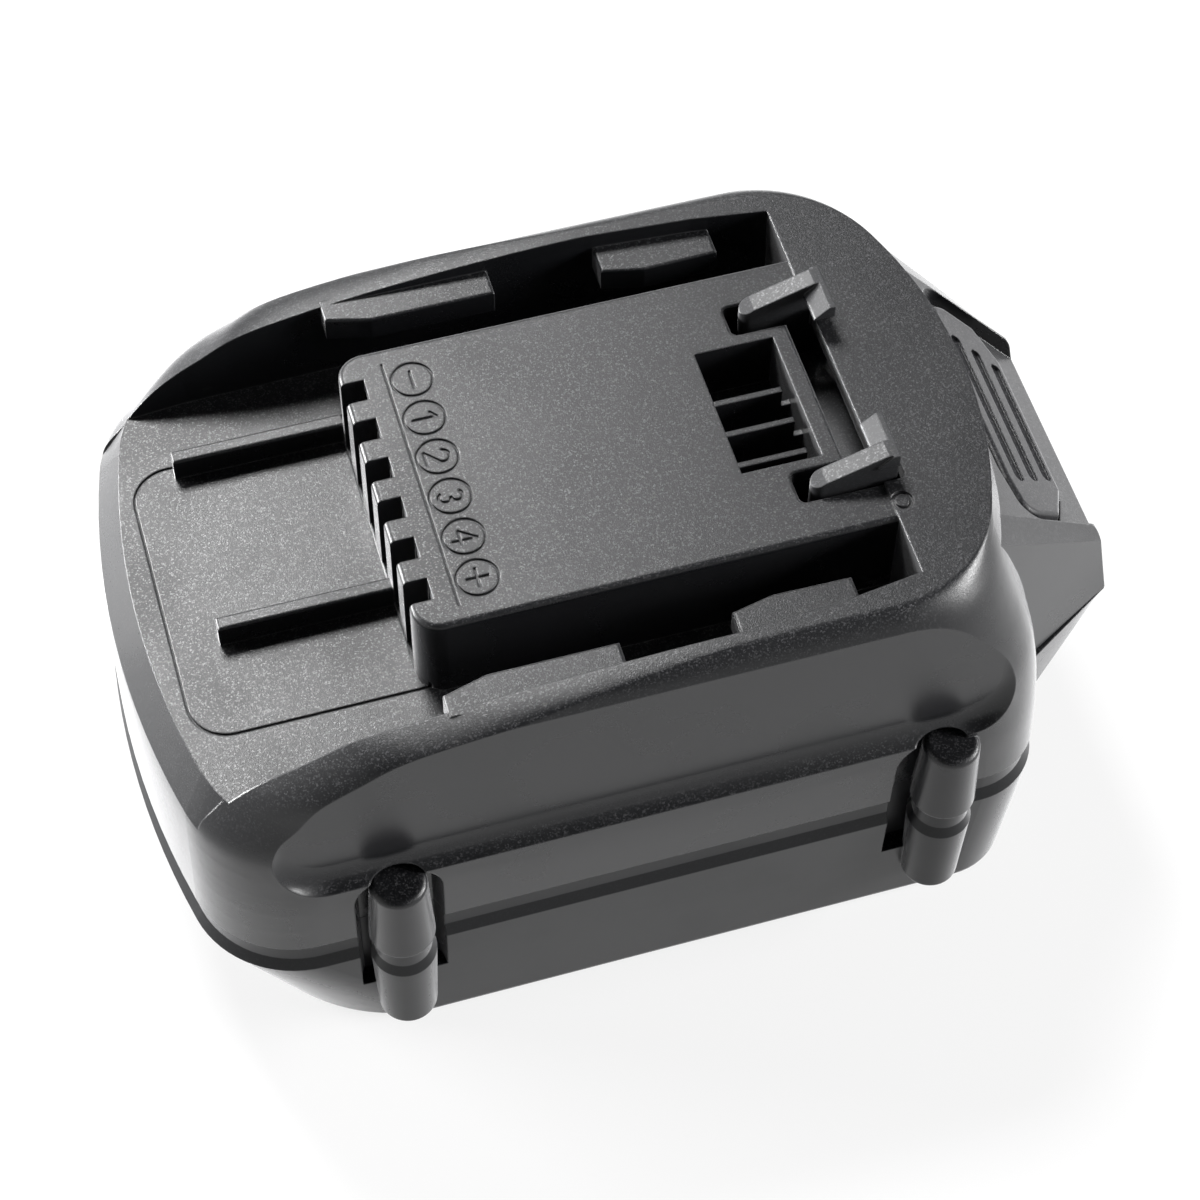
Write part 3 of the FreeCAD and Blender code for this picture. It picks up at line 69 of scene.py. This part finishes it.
def add(tree, kind, options=None, inputs=None):
    """New node of a kind, with options set and inputs filled: a socket is linked, a value is written."""
    node = tree.nodes.new("ShaderNode" + kind)
    count = len(tree.nodes)
    node.location = (count * NODE_STEP, -(count % NODE_ROWS) * NODE_STEP)
    for name, value in (options or {}).items():
        setattr(node, name, value)
    for name, value in (inputs or {}).items():
        if isinstance(value, bpy.types.NodeSocket):
            tree.links.new(value, node.inputs[name])
        else:
            node.inputs[name].default_value = value
    return node


def maths(tree, operation, first, second=0.0, clamp=False):
    """Result of one sum on two values or sockets."""
    options = {"operation": operation, "use_clamp": clamp}
    return add(tree, "Math", options, {0: first, 1: second}).outputs[0]


def ramp(tree, value, low, high, to_low=0.0, to_high=1.0, curve="SMOOTHSTEP"):
    """Value stretched from one range to another and held at its ends."""
    inputs = {"Value": value, "From Min": low, "From Max": high, "To Min": to_low, "To Max": to_high}
    return add(tree, "MapRange", {"interpolation_type": curve}, inputs).outputs[0]


def blended(tree, share, first, second):
    """Colour between two colours or sockets."""
    mix = add(tree, "Mix", {"data_type": "RGBA"})
    for socket, value in ((mix.inputs[0], share), (mix.inputs[6], first), (mix.inputs[7], second)):
        if isinstance(value, bpy.types.NodeSocket):
            tree.links.new(value, socket)
        else:
            socket.default_value = value if socket is mix.inputs[0] else (*value, 1.0)
    return mix.outputs[2]


def new_group(name, inputs, outputs):
    """Empty shader node group with named number inputs, and outputs of the given kinds."""
    group = bpy.data.node_groups.new(name, "ShaderNodeTree")
    for label, value in inputs.items():
        socket = group.interface.new_socket(label, in_out="INPUT", socket_type="NodeSocketFloat")
        socket.default_value = value
    for label, kind in outputs.items():
        group.interface.new_socket(label, in_out="OUTPUT", socket_type="NodeSocket" + kind)
    given = group.nodes.new("NodeGroupInput").outputs
    result = group.nodes.new("NodeGroupOutput").inputs
    return group, given, result


def placed(tree, group, **values):
    """One use of a group in a material, with its own values."""
    node = add(tree, "Group", {"node_tree": group})
    for label, value in values.items():
        node.inputs[label.replace("_", " ")].default_value = value
    return node.outputs


# %% [markdown]
# The shells are moulded in a tool whose level faces were spark-eroded to a grain and whose upright walls were
# only blasted, because a wall with a deep grain would tear as the part leaves the tool. The grain could be a
# photographed texture, but it would have to be unwrapped over every face, so it is worked out from the place
# in space. It grows with how far a face looks up. It is a fine noise for the height, and cells a fifth of a
# millimetre wide, each of its own brightness, as painted glints: colour that stands in for the light caught
# by the small facets.

# %% Moulded grain
GRAINS_PER_METRE = 5600.0
GRAIN_STARTS = 0.35
GRAIN_FULL = 0.95
DULL_FACETS = 0.45
GLINT_RARITY = 3.0


def make_grain():
    """Grain height, painted glints, and how strongly a face is grained."""
    tree, given, result = new_group(
        "moulded_grain",
        {"Scale": GRAINS_PER_METRE, "Side Share": 0.2},
        {"Height": "Float", "Glint": "Float", "Grained": "Float"},
    )
    place = add(tree, "TexCoord").outputs["Object"]
    noise = {"Vector": place, "Scale": given["Scale"], "Detail": 2.0, "Roughness": 0.65}
    fine = add(tree, "TexNoise", None, noise)
    facing = add(tree, "SeparateXYZ", None, {"Vector": add(tree, "NewGeometry").outputs["Normal"]})
    upward = ramp(tree, facing.outputs["Z"], GRAIN_STARTS, GRAIN_FULL)
    share = ramp(tree, upward, 0.0, 1.0, given["Side Share"], 1.0, "LINEAR")
    tree.links.new(maths(tree, "MULTIPLY", fine.outputs["Fac"], share), result["Height"])
    # Painted glints: cells of random brightness lighten the colour where small facets would catch the light.
    facets = add(tree, "TexVoronoi", None, {"Vector": place, "Scale": given["Scale"]}).outputs["Color"]
    chance = add(tree, "SeparateColor", None, {"Color": facets}).outputs["Red"]
    bright = maths(tree, "POWER", ramp(tree, chance, DULL_FACETS, 1.0, curve="LINEAR"), GLINT_RARITY)
    tree.links.new(maths(tree, "MULTIPLY", bright, share), result["Glint"])
    tree.links.new(share, result["Grained"])
    return tree


grain = make_grain()
print("group", grain.name, "sockets", [item.name for item in grain.interface.items_tree])

# %% [markdown]
# No moulded edge is truly sharp. A bevel could be cut into the meshes, but they come from the construction
# and stay as they are. So the Bevel node rounds the normals next to every edge by a few tenths of a
# millimetre, and edges catch a thin line of light as they do on the real pack. The same node tells where the
# edges are, and there the colour is paler, a painted highlight together with a little rubbing from handling,
# and the finish smoother.

# %% Rounded edges
BEVEL_SAMPLES = 6
EDGE_STARTS = 0.01
EDGE_FULL = 0.2


def make_edges():
    """Rounded normal and a mask that is one on the edges."""
    tree, given, result = new_group(
        "rounded_edges",
        {"Radius": 0.3 * MM},
        {"Normal": "Vector", "Edge": "Float"},
    )
    rounded = add(tree, "Bevel", {"samples": BEVEL_SAMPLES}, {"Radius": given["Radius"]}).outputs["Normal"]
    flat = add(tree, "NewGeometry").outputs["Normal"]
    same = add(tree, "VectorMath", {"operation": "DOT_PRODUCT"}, {0: rounded, 1: flat}).outputs["Value"]
    tree.links.new(rounded, result["Normal"])
    turned = maths(tree, "SUBTRACT", 1.0, same)
    tree.links.new(ramp(tree, turned, EDGE_STARTS, EDGE_FULL), result["Edge"])
    return tree


edges = make_edges()
print("group", edges.name)

# %% [markdown]
# Hands and tools leave broad smudges, a few hairline scratches and some dust. They could be painted on, but
# masks from noise reach every face at once. They are weak, since the pack looks almost new, and without them
# the plastic would look like a drawing. A noise drawn out far along one way gives the scratches. Each pair of
# numbers below says between which values of a noise its mark fades in.

# %% Handling
SMUDGES = (0.4, 0.7)
SCRATCHED_PATCHES = (0.52, 0.62)
HAIRLINES = (0.74, 0.78)
SPECKS = (0.62, 0.75)
LEVEL_FACES = (0.6, 1.0)
SCRATCH_TURN = (0.3, 0.5, 0.9)
SCRATCH_STRETCH = (160.0, 6000.0, 900.0)
SPECKS_PER_METRE = 1500.0


def make_handling():
    """Smudges in broad patches, hairline scratches, and dust that lies on level faces."""
    tree, given, result = new_group(
        "handling",
        {"Patch Scale": 60.0, "Scratches": 0.5},
        {"Smudge": "Float", "Scratch": "Float", "Dust": "Float"},
    )
    place = add(tree, "TexCoord").outputs["Object"]
    broad = add(tree, "TexNoise", None, {"Vector": place, "Scale": given["Patch Scale"], "Detail": 5.0})
    tree.links.new(ramp(tree, broad.outputs["Fac"], *SMUDGES), result["Smudge"])
    drawn = add(tree, "Mapping", None, {"Vector": place, "Rotation": SCRATCH_TURN, "Scale": SCRATCH_STRETCH})
    hair = add(tree, "TexNoise", None, {"Vector": drawn.outputs[0], "Scale": 1.0, "Detail": 1.0})
    patches = ramp(tree, broad.outputs["Fac"], *SCRATCHED_PATCHES)
    lines = maths(tree, "MULTIPLY", ramp(tree, hair.outputs["Fac"], *HAIRLINES), patches)
    tree.links.new(maths(tree, "MULTIPLY", lines, given["Scratches"]), result["Scratch"])
    specks = add(tree, "TexNoise", None, {"Vector": place, "Scale": SPECKS_PER_METRE, "Detail": 3.0})
    facing = add(tree, "SeparateXYZ", None, {"Vector": add(tree, "NewGeometry").outputs["Normal"]})
    level = ramp(tree, facing.outputs["Z"], *LEVEL_FACES)
    dust = maths(tree, "MULTIPLY", ramp(tree, specks.outputs["Fac"], *SPECKS), level)
    tree.links.new(dust, result["Dust"])
    return tree


handling = make_handling()
print("group", handling.name)

# %% [markdown]
# All the visible mouldings share one recipe: a nearly black base, painted glints on some facets of the grain,
# a painted highlight with some rubbing and a little more gloss on the edges, and a bump from the grain laid
# over the rounded normals. Each could be a material of its own from the start, but then a change of grain
# would have to be made four times, so one function makes them all and only the numbers differ. Seen at a
# slant, the plastic gets a painted sheen, a paler colour, and is made smoother, because the photographed
# walls are lighter than this base alone would be. All these colours were matched to the photographed greys
# under the soft boxes below and aren't measured ones.

# %% Moulded plastic
# Pale grey of the painted sheen on faces seen at a slant.
SLANT_SHEEN_COLOUR = (0.55, 0.55, 0.56)
DUST_COLOUR = (0.3, 0.29, 0.27)
SLANT_SHARPNESS = 3.0
PALER = {"edge": 0.5, "dust": 0.1, "scratch": 0.25}
SMOOTHER = {"glint_and_scratch": 0.15, "edge": 0.1, "slant": 0.2}
DULLER = {"grain": 0.1, "smudge": 0.06}


def moulded(name, colour, glint_and_scratch, roughness, side_share, depth_mm, specular):
    """Opaque moulded plastic with grain, rounded edges and light handling."""
    material = bpy.data.materials.new(name)
    material.use_nodes = True
    tree = material.node_tree
    shader = tree.nodes["Principled BSDF"]
    texture = placed(tree, grain, Scale=GRAINS_PER_METRE, Side_Share=side_share)
    rounding = placed(tree, edges, Radius=0.3 * MM)
    wear = placed(tree, handling, Patch_Scale=60.0, Scratches=0.5)
    away = add(tree, "LayerWeight", None, {"Blend": 0.5}).outputs["Facing"]
    slant = maths(tree, "POWER", away, SLANT_SHARPNESS)
    base = blended(tree, texture["Glint"], colour, glint_and_scratch)
    # Painted sheen: faces seen at a slant turn towards a pale grey.
    base = blended(tree, maths(tree, "POWER", slant, 2.0), base, SLANT_SHEEN_COLOUR)
    # Painted highlight on the edges, with a little rubbing: there the colour turns halfway to the pale glint
    # colour.
    base = blended(tree, maths(tree, "MULTIPLY", rounding["Edge"], PALER["edge"]), base, glint_and_scratch)
    base = blended(tree, maths(tree, "MULTIPLY", wear["Dust"], PALER["dust"]), base, DUST_COLOUR)
    base = blended(tree, maths(tree, "MULTIPLY", wear["Scratch"], PALER["scratch"]), base, glint_and_scratch)
    tree.links.new(base, shader.inputs["Base Color"])
    rough = ramp(tree, texture["Grained"], 0.0, 1.0, roughness, roughness + DULLER["grain"], "LINEAR")
    rough = maths(tree, "SUBTRACT", rough, maths(tree, "MULTIPLY", texture["Glint"], SMOOTHER["glint_and_scratch"]))
    rough = maths(tree, "ADD", rough, maths(tree, "MULTIPLY", wear["Smudge"], DULLER["smudge"]))
    rough = maths(tree, "SUBTRACT", rough, maths(tree, "MULTIPLY", rounding["Edge"], SMOOTHER["edge"]))
    rough = maths(tree, "SUBTRACT", rough, maths(tree, "MULTIPLY", slant, SMOOTHER["slant"]), clamp=True)
    tree.links.new(rough, shader.inputs["Roughness"])
    shader.inputs["Specular IOR Level"].default_value = specular
    bump = add(tree, "Bump", None, {"Strength": 1.0, "Distance": depth_mm * MM, "Height": texture["Height"],
                                    "Normal": rounding["Normal"]})
    tree.links.new(bump.outputs[0], shader.inputs["Normal"])
    return material


MOULDINGS = {
    "upper_plastic": {"colour": (0.0065, 0.0068, 0.008), "glint_and_scratch": (0.075, 0.075, 0.079),
                      "roughness": 0.27, "side_share": 0.06, "depth_mm": 0.03, "specular": 0.38},
    "lower_plastic": {"colour": (0.0055, 0.0058, 0.0068), "glint_and_scratch": (0.05, 0.05, 0.054),
                      "roughness": 0.34, "side_share": 0.06, "depth_mm": 0.03, "specular": 0.2},
    "latch_plastic": {"colour": (0.019, 0.0195, 0.021), "glint_and_scratch": (0.06, 0.06, 0.065),
                      "roughness": 0.35, "side_share": 0.4, "depth_mm": 0.015, "specular": 0.4},
    "button_plastic": {"colour": (0.004, 0.004, 0.0052), "glint_and_scratch": (0.045, 0.045, 0.049),
                       "roughness": 0.34, "side_share": 0.4, "depth_mm": 0.03, "specular": 0.28},
}
FINISHES = {name: moulded(name, **values) for name, values in MOULDINGS.items()}
print("finishes:", ", ".join(FINISHES))

# %% [markdown]
# Inside are plainer materials. Each still has its own grain: pores in the foam, the weave of the board under
# its green lacquer, the mat of fibres in the insulating paper, and fine drawn lines on the metals. One noise,
# stretched or not, gives all of these near enough for pieces that are seen only when the pack is taken apart.

# %% Materials of the inner pieces
ROUGHNESS_SPREAD = 0.06
SMUDGE_DARKNESS = 0.12
SMUDGE_ROUGHNESS = 0.08


def simple(name, colour, second, roughness, metallic=0.0, scale=600.0, stretch=(1.0, 1.0, 1.0), depth_mm=0.02,
           low=0.4, high=0.6, coat=0.0):
    """Material with two tones that follow a noise, which also shapes its surface."""
    material = bpy.data.materials.new(name)
    material.use_nodes = True
    tree = material.node_tree
    shader = tree.nodes["Principled BSDF"]
    place = add(tree, "TexCoord").outputs["Object"]
    mapped = add(tree, "Mapping", None, {"Vector": place, "Scale": stretch}).outputs[0]
    noise = add(tree, "TexNoise", None, {"Vector": mapped, "Scale": scale, "Detail": 4.0}).outputs["Fac"]
    wear = placed(tree, handling, Patch_Scale=90.0, Scratches=0.6)
    rounding = placed(tree, edges, Radius=0.2 * MM)
    base = blended(tree, ramp(tree, noise, low, high), colour, second)
    darker = tuple(0.6 * c for c in colour)
    base = blended(tree, maths(tree, "MULTIPLY", wear["Smudge"], SMUDGE_DARKNESS), base, darker)
    tree.links.new(base, shader.inputs["Base Color"])
    rough = ramp(tree, noise, low, high, roughness - ROUGHNESS_SPREAD, roughness + ROUGHNESS_SPREAD)
    smudged = maths(tree, "MULTIPLY", wear["Smudge"], SMUDGE_ROUGHNESS)
    rough = maths(tree, "ADD", rough, smudged, clamp=True)
    tree.links.new(rough, shader.inputs["Roughness"])
    shader.inputs["Metallic"].default_value = metallic
    shader.inputs["Coat Weight"].default_value = coat
    bump = add(tree, "Bump", None, {"Strength": 1.0, "Distance": depth_mm * MM, "Height": noise,
                                    "Normal": rounding["Normal"]})
    tree.links.new(bump.outputs[0], shader.inputs["Normal"])
    return material


def sleeved_cell():
    """Cell that lies across the pack, in a shrink sleeve with bare steel at both ends."""
    material = simple("cell_sleeve", (0.02, 0.16, 0.2), (0.025, 0.19, 0.23), 0.32, scale=300.0, depth_mm=0.01)
    tree = material.node_tree
    shader = tree.nodes["Principled BSDF"]
    sleeve = shader.inputs["Base Color"].links[0].from_socket
    place = add(tree, "TexCoord").outputs["Object"]
    along = maths(tree, "ABSOLUTE", add(tree, "SeparateXYZ", None, {"Vector": place}).outputs["Y"])
    bare = ramp(tree, along, SLEEVE_END, SLEEVE_END + 0.1 * MM)
    steel = (0.62, 0.61, 0.58)
    tree.links.new(blended(tree, bare, sleeve, steel), shader.inputs["Base Color"])
    tree.links.new(bare, shader.inputs["Metallic"])
    return material


DRAWN = (1.0, 40.0, 1.0)
SLEEVE_END = 31.9 * MM
FINISHES.update({
    "cell_sleeve": sleeved_cell(),
    "frame_plastic": simple("frame_plastic", (0.1, 0.1, 0.105), (0.13, 0.13, 0.135), 0.5, scale=2500.0),
    "fish_paper": simple("fish_paper", (0.3, 0.33, 0.25), (0.36, 0.39, 0.3), 0.8, scale=1800.0,
                         stretch=(1, 1, 5)),
    "foam": simple("foam", (0.02, 0.02, 0.021), (0.07, 0.07, 0.072), 0.95, scale=1500.0, depth_mm=0.2),
    "board_laminate": simple("board_laminate", (0.01, 0.09, 0.035), (0.02, 0.15, 0.06), 0.3, scale=900.0,
                             stretch=(1, 3, 1), coat=0.4),
    "chip_resin": simple("chip_resin", (0.012, 0.012, 0.013), (0.03, 0.03, 0.03), 0.55, scale=4000.0),
    "fuse_body": simple("fuse_body", (0.62, 0.6, 0.55), (0.7, 0.68, 0.63), 0.4, scale=1500.0),
    "thermistor_bead": simple("thermistor_bead", (0.03, 0.05, 0.2), (0.04, 0.07, 0.26), 0.25, scale=800.0),
    "carrier_plastic": simple("carrier_plastic", (0.014, 0.014, 0.015), (0.03, 0.03, 0.031), 0.55,
                              scale=3000.0),
    "contact_brass": simple("contact_brass", (0.55, 0.42, 0.2), (0.62, 0.48, 0.24), 0.28, 1.0, stretch=DRAWN),
    "nickel": simple("nickel", (0.6, 0.57, 0.52), (0.68, 0.65, 0.6), 0.3, 1.0, stretch=DRAWN, depth_mm=0.005),
    "spring_steel": simple("spring_steel", (0.45, 0.45, 0.46), (0.6, 0.6, 0.61), 0.3, 1.0, stretch=DRAWN),
    "screw_steel": simple("screw_steel", (0.5, 0.5, 0.5), (0.62, 0.62, 0.62), 0.32, 1.0, scale=1200.0),
})
print("finishes:", len(FINISHES))

# %% [markdown]
# Each piece then takes its finish by name. Names that end in a number or a side share one. Picking the
# pieces one by one would do as well, but a new piece would then be missed in silence, while here it stops
# the script.

# %% Give each piece its finish
FINISH_OF = {
    "upper_shell": "upper_plastic", "lower_shell": "lower_plastic", "latch_hooks": "latch_plastic",
    "release_button": "button_plastic", "latch_spring": "spring_steel", "cell_frame": "frame_plastic",
    "cell": "cell_sleeve", "nickel_strip": "nickel", "side_insulator": "fish_paper",
    "insulating_sheet": "fish_paper", "foam_pad": "foam", "circuit_board": "board_laminate",
    "power_transistors": "chip_resin", "controller_chip": "chip_resin", "fuse": "fuse_body",
    "thermistor": "thermistor_bead", "contact_carrier": "carrier_plastic", "contact": "contact_brass",
    "case_screws": "screw_steel", "board_screws": "screw_steel",
}


def finish_name(piece):
    """Finish of a piece: its own, or that of the longest name that its name starts with."""
    starts = [start for start in FINISH_OF if piece == start or piece.startswith(start + "_")]
    return FINISH_OF[max(starts, key=len)]


for name, piece in nodes.items():
    piece.data.materials.clear()
    piece.data.materials.append(FINISHES[finish_name(name)])
print("dressed:", len(nodes), "pieces")

# %% [markdown]
# The set is a sheet of white paper under an even white sky. The camera and mirror-like surfaces should see
# pure white, while the sky lights the pack only weakly. Light Path makes that split: for rays from the
# camera, off glossy faces and through clear ones the world has a strength of 1, and for all others its own
# lower strength. The paper mixes in a large share of plain white for the same rays, so that the pack's shadow
# stays but is faint.

# %% World and floor
SKY_LIGHT = 0.14
FLOOR_SIZE = 3.0
PAPER_WHITE = 0.8
PAPER_COLOUR = (0.93, 0.93, 0.93, 1)
WHITE = (1, 1, 1, 1)


def seen_directly(tree):
    """One for camera, glossy and transmission rays, and nought for the rest."""
    path = add(tree, "LightPath").outputs
    either = maths(tree, "MAXIMUM", path["Is Camera Ray"], path["Is Glossy Ray"])
    return maths(tree, "MAXIMUM", either, path["Is Transmission Ray"])


def make_world():
    """Even white sky."""
    world = bpy.data.worlds.new("studio")
    world.use_nodes = True
    tree = world.node_tree
    tree.nodes.clear()
    light = add(tree, "Background", None, {"Color": WHITE, "Strength": SKY_LIGHT}).outputs[0]
    white = add(tree, "Background", None, {"Color": WHITE, "Strength": 1.0}).outputs[0]
    mix = add(tree, "MixShader", None, {0: seen_directly(tree), 1: light, 2: white})
    add(tree, "OutputWorld", None, {"Surface": mix.outputs[0]})
    bpy.context.scene.world = world


def square(name, size):
    """Flat square sheet about its own middle, staged as scenery."""
    mesh = bpy.data.meshes.new(name)
    half = size / 2
    corners = [(-half, -half, 0), (half, -half, 0), (half, half, 0), (-half, half, 0)]
    mesh.from_pydata(corners, [], [(0, 1, 2, 3)])
    sheet = bpy.data.objects.new(name, mesh)
    bpy.context.scene.collection.objects.link(sheet)
    return sheet


def make_floor():
    """Sheet of white paper that the pack stands on."""
    floor = square("floor", FLOOR_SIZE)
    material = bpy.data.materials.new("white_paper")
    material.use_nodes = True
    tree = material.node_tree
    paper = tree.nodes["Principled BSDF"]
    paper.inputs["Base Color"].default_value = PAPER_COLOUR
    paper.inputs["Roughness"].default_value = 0.9
    paper.inputs["Specular IOR Level"].default_value = 0.1
    white = add(tree, "Emission", None, {"Color": WHITE, "Strength": 1.0}).outputs[0]
    share = maths(tree, "MULTIPLY", seen_directly(tree), PAPER_WHITE)
    mix = add(tree, "MixShader", None, {0: share, 1: paper.outputs[0], 2: white})
    tree.links.new(mix.outputs[0], tree.nodes["Material Output"].inputs["Surface"])
    floor.data.materials.append(material)


make_world()
make_floor()
bpy.context.scene.view_settings.view_transform = "Standard"
print("sky light", SKY_LIGHT, "floor", FLOOR_SIZE, "m wide")

# %% [markdown]
# Three soft boxes shape the plastic. One bright sky would light it too, but dark plastic shows its form
# mostly by what it mirrors. The box above the far side is mirrored to the camera by the level faces towards
# the front, so these turn grey while the deck's rear stays dark. A low one on the left brightens the front
# wall, and a weaker one stands at the rear. Black cloths hang behind the camera and overhead, so faces that
# would mirror the empty white studio stay nearly black between the lit ones. Measured on the pack in a matt
# grey, the near walls get about the light at which a colour renders as written, level faces about 1.8 times
# that, and the front wall more than three times it.

# %% Soft boxes and black cloths
SOFT_BOXES = {
    "back_box": {"place": (-0.14, 0.68, 1.02), "size": (0.36, 0.32), "power": 20.0},
    "left_box": {"place": (-0.8, 0.52, 0.13), "size": (0.5, 0.24), "power": 28.0},
    "rear_box": {"place": (0.86, -0.26, 0.3), "size": (0.45, 0.3), "power": 13.5},
}
BLACK_CLOTHS = {
    "front_cloth": {"place": (-0.17, -0.52, 0.72), "size": 1.1},
    "top_cloth": {"place": (0.35, 0.45, 1.3), "size": 1.9},
}
PACK_MIDDLE = Vector((0, 0, 40)) * MM


def facing_pack(place):
    """Turn of a thing at this place that looks at the pack's middle."""
    return (PACK_MIDDLE - Vector(place)).to_track_quat("-Z", "Y").to_euler()


def soft_box(name, place, size, power):
    """Rectangular area light that faces the pack."""
    data = bpy.data.lights.new(name, "AREA")
    data.shape = "RECTANGLE"
    data.size, data.size_y = size
    data.energy = power
    lamp = bpy.data.objects.new(name, data)
    lamp.location = place
    lamp.rotation_euler = facing_pack(place)
    bpy.context.scene.collection.objects.link(lamp)


def cloth_finish():
    """Black cloth that gives almost nothing back."""
    material = bpy.data.materials.new("black_cloth")
    material.use_nodes = True
    shader = material.node_tree.nodes["Principled BSDF"]
    shader.inputs["Base Color"].default_value = (0.01, 0.01, 0.01, 1)
    shader.inputs["Roughness"].default_value = 1.0
    shader.inputs["Specular IOR Level"].default_value = 0.0
    return material


def black_cloth(name, place, size, finish):
    """Square of cloth turned to the pack, which the camera itself doesn't see."""
    cloth = square(name, size)
    cloth.data.materials.append(finish)
    cloth.location = place
    cloth.rotation_euler = facing_pack(place)
    cloth.visible_camera = False


for name, values in SOFT_BOXES.items():
    soft_box(name, **values)
black = cloth_finish()
for name, values in BLACK_CLOTHS.items():
    black_cloth(name, finish=black, **values)
print("soft boxes:", ", ".join(SOFT_BOXES), "cloths:", ", ".join(BLACK_CLOTHS))
